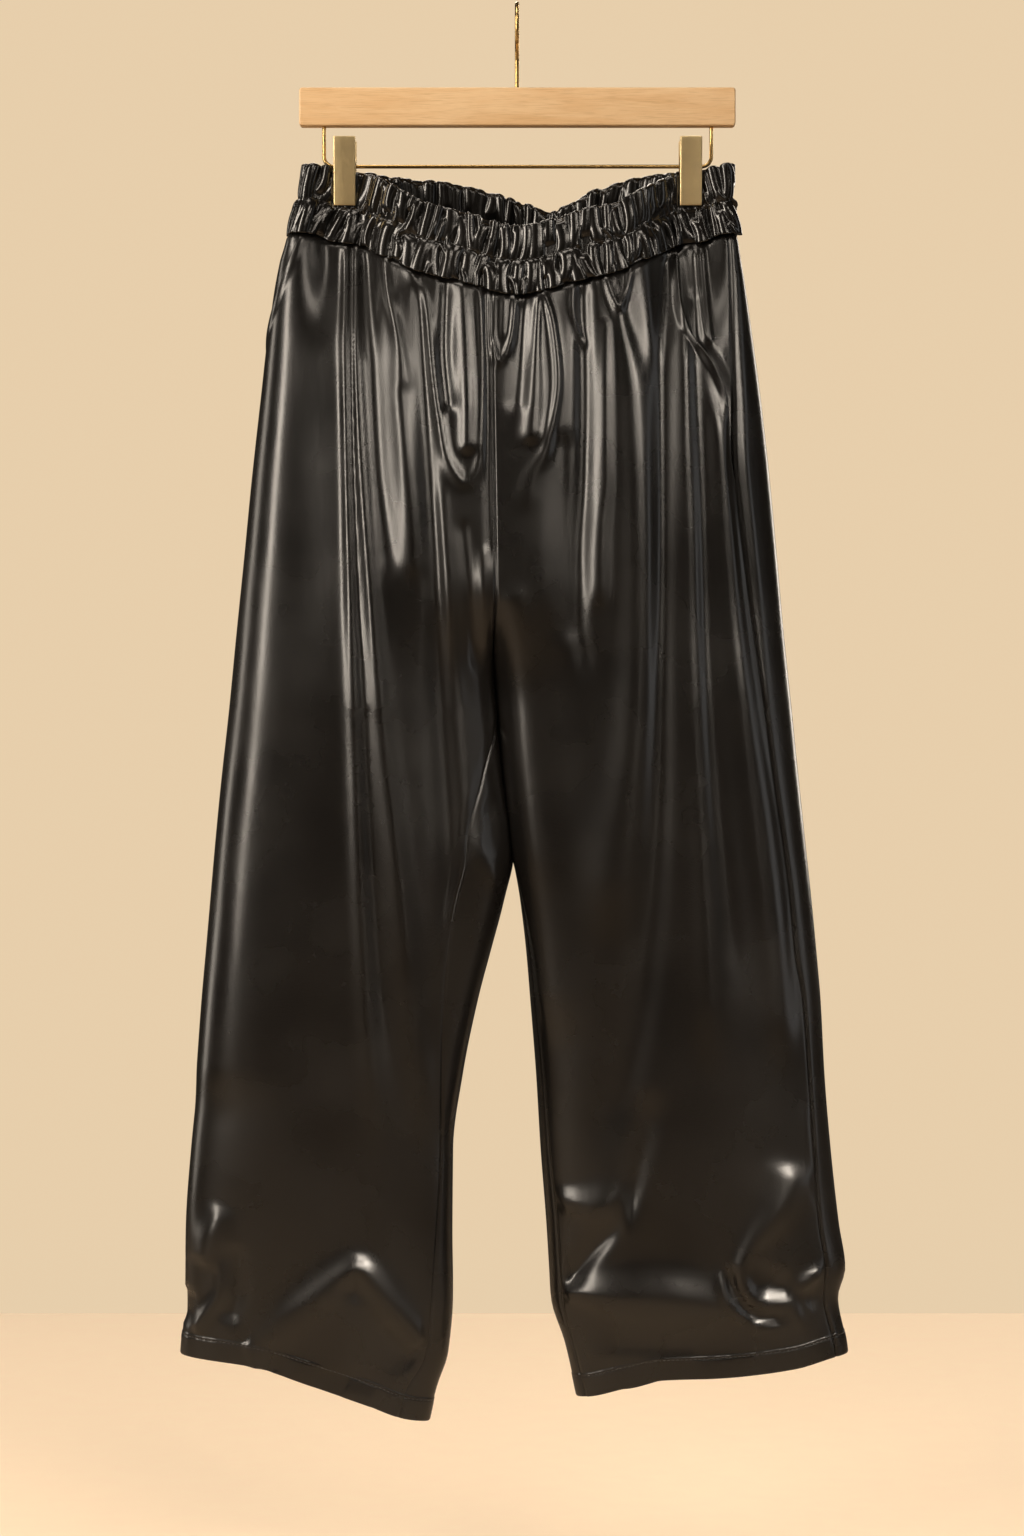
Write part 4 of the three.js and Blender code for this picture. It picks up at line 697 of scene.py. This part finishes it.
def panel_places(side, face, across):
    ahead = mouth_ahead(LEVELS) if face == "front" else np.zeros(len(LEVELS))
    on_hips = lay_out(hip_point, hip_ends(side, face, LEVELS), across, ahead)
    on_leg = lay_out(lambda a, z: leg_point(side, a, z), leg_ends(side, face, LEVELS), across, ahead)
    columns = np.arange(len(across))

    def at(z):
        position = (z - LEVELS[0]) / (LEVELS[1] - LEVELS[0])
        below = np.clip(position.astype(int), 0, len(LEVELS) - 2)
        hips, leg = (
            [lerp(table[below, columns], table[below + 1, columns], position - below) for table in tables]
            for tables in (on_hips, on_leg))
        blend = smooth(-z, -CROTCH_Z - RISE_BLEND["height"], -CROTCH_Z) ** RISE_BLEND["power"]
        hips = (*hip_point(hips[0], z), *hips[1:])
        leg = (*leg_point(side, leg[0], z), *leg[1:])
        x, y, from_start, to_end = (lerp(*pair, blend) for pair in zip(hips, leg))
        return np.stack([x, y, z], axis=-1), from_start, to_end, blend
    return at


def settle(places, columns, target):
    z = np.full(columns, SETTLING["from"])
    for _ in range(SETTLING["rounds"]):
        z = target(places(z[None, :])[0][0, :, 0])
    return z


def fold_heights(folds, x, z):
    height = np.zeros_like(x)
    for fold in folds:
        path = np.array(fold, float)
        knots = np.linspace(0, 1, len(path))
        steps = np.linspace(0, 1, FOLD_STEPS * (len(path) - 1) + 1)
        path = np.stack([curve_through(knots, path[:, i])(steps) for i in range(4)], axis=1)
        reach = FOLD_REACH * path[:, 3].max()
        near = (x > path[:, 0].min() - reach) & (x < path[:, 0].max() + reach)
        near &= (z > path[:, 1].min() - reach) & (z < path[:, 1].max() + reach)
        if not near.any():
            continue
        here = np.stack([x[near], z[near]], axis=1)[:, None]
        start, way = path[:-1, :2], np.diff(path[:, :2], axis=0)
        share = np.clip(((here - start) * way).sum(2) / (way ** 2).sum(1), 0, 1)
        apart = np.linalg.norm(here - start - share[..., None] * way, axis=2)
        best = apart.argmin(axis=1)
        pick = np.arange(len(best))
        share = share[pick, best]
        out = lerp(path[best, 2], path[best + 1, 2], share)
        done = (best + share) / (len(path) - 1)
        for end, past in ((path[0], done), (path[-1], 1 - done)):
            if end[1] < FOLD_FADE["below"]:
                out = out * smooth(past, 0, FOLD_FADE["share"])
        width = lerp(path[best, 3], path[best + 1, 3], share)
        height[near] += out * np.exp(-(apart[pick, best] / width) ** 2)
    return height


def surface_normals(points):
    normals = np.cross(np.gradient(points, axis=1), np.gradient(points, axis=0))
    normals /= np.maximum(np.linalg.norm(normals, axis=2, keepdims=True), 1e-9)
    return normals * np.sign((normals * points)[..., :2].sum())


def shell(outer, inner):
    rows, columns = outer.shape[:2]
    count = rows * columns
    r, c = np.meshgrid(np.arange(rows - 1), np.arange(columns - 1), indexing="ij")
    at = (r * columns + c).ravel()
    front = np.stack([at, at + 1, at + columns + 1, at + columns], axis=1)
    back = front[:, ::-1] + count
    last = rows - 1
    rim = np.concatenate([np.arange(columns - 1), np.arange(last) * columns + columns - 1,
                          last * columns + np.arange(columns - 1, 0, -1), np.arange(last, 0, -1) * columns])
    following = np.roll(rim, -1)
    edge = np.stack([rim, rim + count, following + count, following], axis=1)
    points = np.concatenate([outer.reshape(-1, 3), inner.reshape(-1, 3)])
    faces = np.concatenate([front, back, edge])
    a, b, c = (points[faces[:, i]] for i in range(3))
    if np.einsum("ij,ij->i", a, np.cross(b, c)).sum() < 0:
        faces = faces[:, ::-1]
    sides = np.concatenate([np.zeros(len(front)), np.ones(len(back)), np.zeros(len(edge))]).astype(int)
    return points, faces.tolist(), sides


def leather_grain():
    group, place, given, kept = new_group(
        "leather_grain", {"Grain Scale": 900, "Ripple Scale": 48, "Ripple Share": 0.5},
        ("Height", "Ripples", "Mottle"))
    pebbles = add_node(group, "ShaderNodeTexVoronoi", Vector=place, Scale=given["Grain Scale"])
    pebbles.feature = "SMOOTH_F1"
    height = group.nodes.new("ShaderNodeMath")
    height.operation = "MULTIPLY_ADD"
    group.links.new(noise(group, place, given["Grain Scale"], 2), height.inputs[0])
    height.inputs[1].default_value = 0.6
    group.links.new(pebbles.outputs["Distance"], height.inputs[2])
    hung = add_node(group, "ShaderNodeMapping", Vector=place, Scale=(1, 1, 0.35)).outputs["Vector"]
    ripples = noise(group, hung, given["Ripple Scale"], 3, Roughness=given["Ripple Share"])
    group.links.new(height.outputs["Value"], kept["Height"])
    group.links.new(ripples, kept["Ripples"])
    group.links.new(noise(group, place, 14, 5), kept["Mottle"])
    return group


def faux_leather(name, roughness, ripple_depth, coat):
    finish, tree, shader = new_finish(name, (0.005, 0.0042, 0.0036), roughness)
    grain = add_node(tree, "ShaderNodeGroup", grain_of_leather).outputs
    vary_colour(tree, shader.inputs["Base Color"], grain["Mottle"], 0.3, 0.7,
                (0.0036, 0.0031, 0.0027), (0.006, 0.0051, 0.0044))
    vary_number(tree, shader.inputs["Roughness"], grain["Mottle"], 0.3, 0.7,
                roughness - 0.04, roughness + 0.05)
    shader.inputs["Coat Weight"].default_value = coat
    shader.inputs["Coat Roughness"].default_value = 0.2
    under = relief(tree, shader.inputs["Normal"], grain["Height"], 0.35, 0.00012)
    relief(tree, under, grain["Ripples"], 1.0, ripple_depth)
    return finish


def textile(name, colour, roughness, size, distortion, low, high, first, second, strength, depth):
    finish, tree, shader = new_finish(name, colour, roughness)
    threads = add_node(tree, "ShaderNodeTexWave", Vector=place_on_object(tree, (1, 1, 1)), Scale=size,
                       Distortion=distortion).outputs["Fac"]
    vary_colour(tree, shader.inputs["Base Color"], threads, low, high, first, second)
    relief(tree, shader.inputs["Normal"], threads, strength, depth)
    return finish


grain_of_leather = leather_grain()
leather = faux_leather("faux_leather_panels", 0.27, 0.0003, 0.1)
backing = textile("knit_backing", (0.02, 0.019, 0.018), 0.85, 900, 1.5, 0.2, 0.8,
                  (0.012, 0.011, 0.01), (0.03, 0.028, 0.026), 0.5, 0.0002)

# Each face of the garment: its folds, the start of its waves, its mesh, and the cut of a panel in metres.
PANELS = {
    "front": {"folds": FRONT_FOLDS, "sway": 1.0, "shift": 0, "columns": 122, "rise_rows": 100,
              "leg_rows": 112, "flat": (0.31, 0.95), "area": 0.235},
    "back": {"folds": BACK_FOLDS, "sway": 2.7, "shift": 37, "columns": 92, "rise_rows": 70,
             "leg_rows": 86, "flat": (0.34, 0.97), "area": 0.26},
}
ROW_CROWDING = 1.15
# The waves of gathered cloth: height, length, how far they wander, and over what length.
WAIST_WAVES = ((0.5, 2.1, 1.9, 11.3), (1, 4.3, 2.3, 19))
WAIST_GATHERS = {"height": 0.6, "fade": 13, "seam": 8}
FOLDS_START = {"share": 0.55, "over": 14}
RISE_FLAT = 4


def wavering(x, *waves):
    return sum(height * np.sin(x / length + far * np.sin(x / slow)) for height, length, far, slow in waves)


def gripped(below):
    return fade(below, BAND_GRIP["from"], BAND_GRIP["to"])


def waist_gathers(x, below):
    calmer = np.exp(-np.maximum(below, 0) / WAIST_GATHERS["fade"])
    return WAIST_GATHERS["height"] * wavering(x, *WAIST_WAVES) * calmer * (1 - gripped(below))


# Two slow waves of slack cloth and a finer one that comes and goes down the leg.
def sway(x, z, turn):
    return (0.25 * np.sin(x / 12.5 + z / 61 + turn) + 0.4 * np.sin(x / 19.2 - z / 83 + 2 * turn)
            + 0.12 * np.sin(x / 7.7 + z / 140 + 1.3 * turn) * np.sin(z / 47 + turn))


def panel_surface(face, z, places):
    points, from_start, to_end, blend = places(z)
    normals = surface_normals(points)
    normals[..., 0] *= lerp(smooth(from_start, 0, RISE_FLAT), 1, blend)
    normals /= np.linalg.norm(normals, axis=2, keepdims=True)
    x = points[..., 0]
    below = waist_seam(face, x) - z
    share = lerp(FOLDS_START["share"], 1, smooth(below, 0, FOLDS_START["over"]))
    share = share * smooth(to_end, 0, SEAM_FADE) * lerp(1, smooth(from_start, 0, SEAM_FADE), blend)
    height = fold_heights(PANELS[face]["folds"], x, z) + sway(x, z, PANELS[face]["sway"])
    gathered = waist_gathers(x + PANELS[face]["shift"], below) * smooth(to_end, 0, WAIST_GATHERS["seam"])
    height = height * share + gathered
    return points + normals * height[..., None], normals, from_start, to_end, below, blend


def panel(side, face):
    inside = np.linspace(SEAM_COLUMNS[-1], 1 - SEAM_COLUMNS[-1], PANELS[face]["columns"])[1:-1]
    across = np.concatenate([SEAM_COLUMNS, inside, 1 - SEAM_COLUMNS[::-1]])
    places = panel_places(side, face, across)
    top = settle(places, len(across), lambda x: waist_seam(face, x))
    hem = settle(places, len(across), hem_height[side][face])
    rise_rows = PANELS[face]["rise_rows"]
    leg_rows = PANELS[face]["leg_rows"]
    rows = [top + UNDER_BAND, top + UNDER_BAND / 2]
    rows += [lerp(top, CROTCH_Z, (i / rise_rows) ** ROW_CROWDING) for i in range(rise_rows)]
    rows += [lerp(CROTCH_Z, hem + HEM_ROWS[0], i / leg_rows) for i in range(leg_rows)]
    rows += [hem + up for up in HEM_ROWS]
    z = np.stack(rows)
    points, normals, from_start, to_end, below, blend = panel_surface(face, z, places)
    above_hem = z - hem
    ahead = mouth_ahead(z) if face == "front" else np.zeros_like(z)
    open_edge = smooth(ahead, 0, MOUTH_EDGE["opens"])
    to_edge = to_end - ahead
    roll = fade(from_start, 0, SEAM_ROLL["width"]) * lerp(1, SEAM_ROLL["inseam"], blend)
    roll = roll + fade(to_edge, 0, SEAM_ROLL["width"]) * (1 - open_edge)
    lift = MOUTH_LIFT[side] * fade(to_edge, 0, MOUTH_LIFT["width"])
    lift = open_edge * (lift + MOUTH_EDGE["proud"] * fade(to_edge, *MOUTH_EDGE["turned_in"]))
    lift -= open_edge * MOUTH_EDGE["roll"] * fade(to_edge, 0, MOUTH_EDGE["roll_width"])
    lift *= smooth(below, 0, MOUTH_EDGE["free"])
    out = lift - SEAM_ROLL["depth"] * roll - BAND_GRIP["depth"] * gripped(below)
    doubled = fade(above_hem, HEM_TURNING["full"], HEM_TURNING["end"])
    pucker = wavering(points[..., 0], HEM_PUCKER["wave"])
    pucker = pucker * np.exp(-((above_hem - HEM_PUCKER["up"]) / HEM_PUCKER["width"]) ** 2)
    dent = HEM_STITCH["depth"] * np.exp(-((above_hem - HEM_STITCH["up"]) / HEM_STITCH["width"]) ** 2)
    outer_out = out + CLOTH / 2 + HEM_TURNING["outside"] * doubled + pucker - dent
    outer_out -= HEM_TURNING["edge"] * fade(above_hem, 0, 1)
    inner_out = out - CLOTH / 2 - HEM_TURNING["inside"] * doubled
    return points + normals * outer_out[..., None], points + normals * inner_out[..., None], normals


panel_grids = {}
for side in ("right", "left"):
    for face in ("front", "back"):
        outer, inner, normals = panel(side, face)
        panel_grids[side, face] = outer, normals
        points, faces, sides = shell(outer, inner)
        piece = new_piece(f"{face}_panel_{side}_leather", points, faces, [leather, backing], sides)
        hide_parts(f"{face}_panel_{side}")

# Pocket facings: a strip of the same leather behind each slanted pocket mouth.
# It shows between the mouth's turned edge and the side seam, and is sewn into that seam.
FACING = {"under": 0.05, "sunk": 2.2, "flush_after": 12, "end": -376, "rows": 75, "columns": (8, 30)}
FACING_EDGE = (1.94, 1.955, 1.97, 1.98, 1.99, 2.0)

for side in ("right", "left"):
    under, shown = FACING["columns"]
    across = np.concatenate([np.linspace(1 - FACING["under"], 1, under)[:-1],
                             np.linspace(1, FACING_EDGE[0], shown), FACING_EDGE[1:]])
    places = panel_places(side, "front", across)
    top = settle(places, len(across), lambda x: waist_seam("front", x))
    rows = FACING["rows"]
    z = np.stack([lerp(top + UNDER_BAND, FACING["end"], i / rows) for i in range(rows + 1)])
    points, normals, from_start, to_end, below, blend = panel_surface("front", z, places)
    past = np.maximum(0, mouth_ahead(z) - to_end)
    sunk = FACING["sunk"] * fade(past, 0, FACING["flush_after"]) + BAND_GRIP["depth"] * gripped(below)
    sunk = sunk + SEAM_ROLL["depth"] * fade(to_end, 0, SEAM_ROLL["width"])
    outer = points + normals * (CLOTH / 2 - sunk)[..., None]
    inner = points - normals * (CLOTH / 2 + sunk)[..., None]
    points, faces, sides = shell(outer, inner)
    piece = new_piece(f"pocket_facing_{side}_leather", points, faces, [leather, backing], sides)
    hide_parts(f"pocket_facing_{side}")

# Hem stitching: one row of black thread through the turned-up hem of each leg.
# The stitches sink a little into the leather, which puckers between them.
STITCH = {"length": 2.7, "gap": 0.9, "radius": 0.3, "sides": 6, "first": 0.5, "clear": 4}
# Along each stitch: share of its length, share of its thickness, and how deep it sinks.
STITCH_RINGS = ((0, 0.35, 0.35), (0.12, 0.8, 0), (0.5, 1, -0.1), (0.88, 0.8, 0), (1, 0.35, 0.35))


def stitches(path, normals):
    lengths = np.concatenate([[0], np.cumsum(np.linalg.norm(np.diff(path, axis=0), axis=1))])
    starts = np.arange(STITCH["first"], lengths[-1] - STITCH["length"], STITCH["length"] + STITCH["gap"])
    points = []
    faces = []
    turns = np.linspace(0, 2 * math.pi, STITCH["sides"], endpoint=False)
    for start in starts:
        ends = np.array([start, start + STITCH["length"]])
        a, b = np.stack([np.interp(ends, lengths, path[:, i]) for i in range(3)], axis=1)
        out = np.array([np.interp(ends.mean(), lengths, normals[:, i]) for i in range(3)])
        way = (b - a) / np.linalg.norm(b - a)
        aside = np.cross(way, out)
        first = len(points)
        for share, thick, sink in STITCH_RINGS:
            middle = lerp(a, b, share) - out * sink
            for turn in turns:
                ring = aside * math.cos(turn) + out * math.sin(turn)
                points.append(middle + STITCH["radius"] * thick * ring)
        rings = rings_to_faces(len(STITCH_RINGS), STITCH["sides"])
        faces += [tuple(first + i for i in face) for face in rings]
    return np.array(points), faces


thread = textile("black_thread", (0.02, 0.018, 0.016), 0.55, 1800, 0.5, 0.1, 0.9,
                 (0.012, 0.01, 0.009), (0.035, 0.031, 0.028), 0.4, 0.0001)

stitch_row = HEM_ROWS.index(HEM_STITCH["up"]) - len(HEM_ROWS)
between_seams = slice(STITCH["clear"], -STITCH["clear"])
for side in ("right", "left"):
    points = []
    faces = []
    for face in ("front", "back"):
        grid, normals = panel_grids[side, face]
        made, made_faces = stitches(grid[stitch_row, between_seams], normals[stitch_row, between_seams])
        faces += [tuple(len(points) + i for i in f) for f in made_faces]
        points += made.tolist()
    piece = new_piece(f"hem_stitching_{side}", points, faces, [thread])

# Waistband: one round casing of the same leather over wide elastic, stitched through its middle.
# The elastic draws it into a row of tight puffed gathers above that stitching and a row below.
BAND = {"columns": 1400, "length": 760, "ring_z": -160, "wall": 2.2, "outside": 48, "inside": 17,
        "steps": 2881, "rounds": 6}
BAND_TOP_PUFFS = {"rise": 3.2, "over": 0.2}
BAND_HANG = {"drop": 1.5, "from": 0.8}
BAND_HELD = {"beside": 2, "below": 3, "share": 0.3}
BAND_SUNK = {"puffs": 0.6, "most": 0.5}
BAND_EDGE = {"shares": (0.25, 0.5, 0.75), "crown": 1.3}
BAND_SLACK = ((0.5, 17, 2, 43), (0.3, 8.3, 1, 29))
PUFF = {"width": (5.6, 11.5), "height": (2.8, 4.8), "lean": 6.5, "tilt": 6, "bow": 3.2, "blend": 7,
        "overlap": 0.6, "short": (0.05, 0.3), "full": 4, "least": 0.01, "crown": 0.6, "ends": 3}
FORK = {"reach": (0.35, 0.65), "width": (1.9, 3.0), "height": (0.8, 1.05)}
ROW_LINE = 0.5
# Rows of puffs: seed, where each starts and ends down the band, its height, and how many puffs fork.
UPPER_ROW = (11, -0.16, ROW_LINE + 0.03, 1.0, 0.75)
LOWER_ROW = (23, ROW_LINE - 0.03, 1.14, 1.1, 0.75)
UPPER_ROW_INSIDE = (37, -0.16, ROW_LINE + 0.03, 0.8, 0.6)
LOWER_ROW_INSIDE = (51, ROW_LINE - 0.03, 1.1, 0.8, 0.6)


def gathers(seed, start, end, tall, forks):
    random = np.random.default_rng(seed)
    edges = [0.0]
    while edges[-1] < BAND["length"] - PUFF["width"][1]:
        edges.append(edges[-1] + random.uniform(*PUFF["width"]))
    edges = np.array(edges + [BAND["length"]])
    made = []
    for edge, following in zip(edges[:-1], edges[1:]):
        height = random.uniform(*PUFF["height"]) * tall
        lean = -PUFF["lean"] * math.cos(2 * math.pi * edge / BAND["length"])
        lean += random.uniform(-PUFF["tilt"], PUFF["tilt"])
        bow = random.uniform(-PUFF["bow"], PUFF["bow"])
        first = start + random.choice((0.0, 0.0, random.uniform(*PUFF["short"]))) * (end - start)
        last = end - random.choice((0.0, 0.0, random.uniform(*PUFF["short"]))) * (end - start)
        half = (following - edge) * PUFF["overlap"]
        made.append(((edge + following) / 2, half, first, last, height, lean, bow))
        if random.random() < forks:
            reach = random.uniform(*FORK["reach"]) * (end - start)
            part = (start, start + reach) if random.random() < 0.5 else (end - reach, end)
            width = random.uniform(*FORK["width"])
            made.append((edge, width, *part, height * random.uniform(*FORK["height"]), lean - 2 * bow, -bow))
    return made


def puffs(row, down):
    total = np.zeros((len(down), len(along)))
    down = down[:, None]
    for centre, half, start, end, height, lean, bow in gathers(*row):
        share = (down - start) / (end - start)
        shift = lean * (share - 0.5) + bow * (1 - (2 * share - 1) ** 2)
        apart = (along - centre - shift + BAND["length"] / 2) % BAND["length"] - BAND["length"] / 2
        across = np.clip(1 - (apart / half) ** 2, 0, 1)
        lengthways = np.clip(1 - np.abs(2 * share - 1) ** PUFF["ends"], 0, 1)
        total += (height * across ** PUFF["crown"] * np.sqrt(lengthways)) ** PUFF["blend"]
    return total ** (1 / PUFF["blend"])


band_turns = np.linspace(0, 2 * math.pi, BAND["steps"])
band_x, band_y = hip_point(band_turns, BAND["ring_z"])
band_lengths = np.concatenate([[0], np.cumsum(np.hypot(np.diff(band_x), np.diff(band_y)))])
along = np.linspace(0, BAND["length"], BAND["columns"], endpoint=False)
band_turns = np.interp(along / BAND["length"] * band_lengths[-1], band_lengths, band_turns)
outside_downs = np.linspace(1, 0, BAND["outside"])
inside_downs = np.linspace(0, 1, BAND["inside"])
high = puffs(UPPER_ROW, outside_downs)
deep = puffs(LOWER_ROW, outside_downs)
within = np.maximum(puffs(UPPER_ROW_INSIDE, inside_downs), puffs(LOWER_ROW_INSIDE, inside_downs))
slack = wavering(along, *BAND_SLACK)


def band_row(down, out, rise):
    x = hip_point(band_turns, BAND["ring_z"])[0]
    front = np.sin(band_turns) > 0
    for _ in range(BAND["rounds"]):
        seam = np.where(front, waist_seam("front", x), waist_seam("back", x))
        x = hip_point(band_turns, seam)[0]
    z = seam + (1 - down) * BAND_HEIGHT
    x, y = hip_point(band_turns, z)
    ring = np.stack([x, y], axis=1)
    way = np.roll(ring, -1, axis=0) - np.roll(ring, 1, axis=0)
    normal = np.stack([-way[:, 1], way[:, 0], np.zeros(len(x))], axis=1)
    normal /= np.linalg.norm(normal, axis=1, keepdims=True)
    held = np.abs(np.abs(x) - CLIP_X["left"]) < JAW["width"] / 2 + BAND_HELD["beside"]
    held = np.where(held & (z > JAW["bottom"] - BAND_HELD["below"]), BAND_HELD["share"], 1.0)
    puffed = np.maximum(out - BAND_SUNK["puffs"] + slack, -BAND_SUNK["most"])
    height = np.where(out > 0, puffed, out) * held
    return np.stack([x, y, z + rise], axis=1) + normal * height[:, None], normal


def fullness(height):
    return np.clip(height / PUFF["full"], 0, 1)


def top_puffs(height, down):
    return BAND_TOP_PUFFS["rise"] * fullness(height) * fade(down, 0, BAND_TOP_PUFFS["over"])


band_rows = []
for down, upper, lower in zip(outside_downs, high, deep):
    hang = BAND_HANG["drop"] * fullness(lower) * smooth(down, BAND_HANG["from"], 1)
    out = np.maximum(upper, lower) + PUFF["least"]
    band_rows.append(band_row(down, out, top_puffs(upper, down) - hang)[0])
row_line = band_rows[int(np.argmin(np.abs(outside_downs - ROW_LINE)))]
row_normals = band_row(ROW_LINE, along * 0, 0)[1]
edge_outer = band_rows[-1]
edge_inner = band_row(0.0, -BAND["wall"] - within[0], top_puffs(within[0], 0))[0]
for share in BAND_EDGE["shares"]:
    between = lerp(edge_outer, edge_inner, share)
    between[:, 2] += BAND_EDGE["crown"] * math.sin(math.pi * share)
    band_rows.append(between)
for down, inward in zip(inside_downs, within):
    band_rows.append(band_row(down, -BAND["wall"] - inward, top_puffs(inward, down))[0])
band_points = np.concatenate(band_rows)
columns = BAND["columns"]
band_faces = rings_to_faces(len(band_rows), columns, closed_ends=False)
last = (len(band_rows) - 1) * columns
band_faces += [(last + i, last + (i + 1) % columns, (i + 1) % columns, i) for i in range(columns)]
band_leather = faux_leather("faux_leather_band", 0.17, 0.0001, 0.2)
waistband = new_piece("waistband_leather", band_points, band_faces, [band_leather])
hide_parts("waistband")
stitched, stitched_faces = stitches(row_line, row_normals)
band_stitching = new_piece("waistband_stitching", stitched, stitched_faces, [thread])

# Studio: a plain pale floor well below the hems, soft light mostly from the left and above,
# and a level camera straight in front of the hanger. Its sizes and places are in metres.
FLOOR_Z = -1.33
FLOOR_CORNERS = ((-6, -5), (6, -5), (6, 1.5), (-6, 1.5))
floor_finish, tree, shader = new_finish("pale_floor", (0.42, 0.32, 0.22), 0.7)
speckle = noise(tree, place_on_object(tree, (1, 1, 1)), 30, 4)
vary_colour(tree, shader.inputs["Base Color"], speckle, 0.3, 0.7, (0.41, 0.31, 0.215), (0.43, 0.33, 0.225))
shader.inputs["Emission Color"].default_value = (0.8, 0.6, 0.4, 1)
seen = tree.nodes.new("ShaderNodeLightPath").outputs["Is Camera Ray"]
vary_number(tree, shader.inputs["Emission Strength"], seen, 0, 1, 0, 0.74)
floor_mesh = bpy.data.meshes.new("floor")
floor_mesh.from_pydata([(x, y, FLOOR_Z) for x, y in FLOOR_CORNERS], [], [(0, 1, 2, 3)])
floor_mesh.materials.append(floor_finish)
put_in_scene("floor", floor_mesh)

studio = bpy.data.worlds.new("studio")
bpy.context.scene.world = studio
studio.use_nodes = True
tree = studio.node_tree
tree.nodes.clear()
seen = add_node(tree, "ShaderNodeBackground", Color=(0.80, 0.62, 0.41, 1), Strength=1.0)
lit = add_node(tree, "ShaderNodeBackground", Color=(0.62, 0.52, 0.4, 1), Strength=0.08)
rays = tree.nodes.new("ShaderNodeLightPath")
choice = add_node(tree, "ShaderNodeMixShader", Fac=rays.outputs["Is Camera Ray"])
tree.links.new(lit.outputs["Background"], choice.inputs[1])
tree.links.new(seen.outputs["Background"], choice.inputs[2])
add_node(tree, "ShaderNodeOutputWorld", Surface=choice.outputs["Shader"])


def soft_light(name, place, aim, width, height, power, colour, spread=180):
    data = bpy.data.lights.new(name, "AREA")
    data.shape = "RECTANGLE"
    data.size = width
    data.size_y = height
    data.energy = power
    data.color = colour
    data.spread = math.radians(spread)
    light = put_in_scene(name, data)
    light.location = place
    light.rotation_euler = (Vector(aim) - Vector(place)).to_track_quat("-Z", "Y").to_euler()
    light.visible_camera = False


WARM = (1.0, 0.89, 0.76)
COOL = (0.98, 0.97, 0.96)
soft_light("left_lamp", (-1.95, -1.55, 0.4), (0, 0, -0.3), 0.45, 2.2, 56, WARM)
soft_light("front_lamp", (0.5, -2.2, 1.3), (0, 0, -0.8), 0.6, 0.5, 8, WARM)
soft_light("left_wall", (-1.6, -2.5, 0.1), (0, 0, -0.5), 1.2, 2.4, 2, WARM)
soft_light("right_wall", (1.0, -2.7, 0.0), (0, 0, -0.5), 0.7, 2.2, 1.6, WARM)
soft_light("right_lamp", (2.3, -0.6, -0.3), (0, 0, -0.6), 0.4, 2.0, 3, COOL)
soft_light("top_light", (-0.5, -0.5, 1.5), (0, 0, -0.7), 1.2, 0.7, 14, WARM)
soft_light("left_rim", (-1.9, 0.4, -0.2), (0, 0, -0.5), 0.4, 1.8, 10, WARM)
soft_light("hem_lamp", (0.75, -2.0, 0.25), (0, 0, -1.15), 1.8, 0.8, 4.5, WARM, 34)
soft_light("right_hem_lamp", (1.5, -1.8, 0.45), (-0.1, 0, -1.1), 0.7, 0.6, 2.5, WARM, 34)
soft_light("back_lamp", (1.5, 1.9, 0.4), (0, 0, -0.4), 0.45, 2.2, 22, WARM)
soft_light("back_top", (-0.3, 2.0, 1.2), (0, 0, -0.8), 0.8, 0.5, 8, WARM)

CAMERA = {"place": (-0.0049, -2.515, -0.6205), "film": 36, "distance": 2.5, "view_width": 0.8294}
camera_data = bpy.data.cameras.new("camera")
camera_data.sensor_fit = "HORIZONTAL"
camera_data.sensor_width = CAMERA["film"]
camera_data.lens = CAMERA["film"] * CAMERA["distance"] / CAMERA["view_width"]
camera = put_in_scene("camera", camera_data)
camera.location = CAMERA["place"]
camera.rotation_euler = (math.pi / 2, 0, 0)
bpy.context.scene.camera = camera
bpy.context.scene.view_settings.view_transform = "Standard"
bpy.context.scene.view_settings.look = "None"
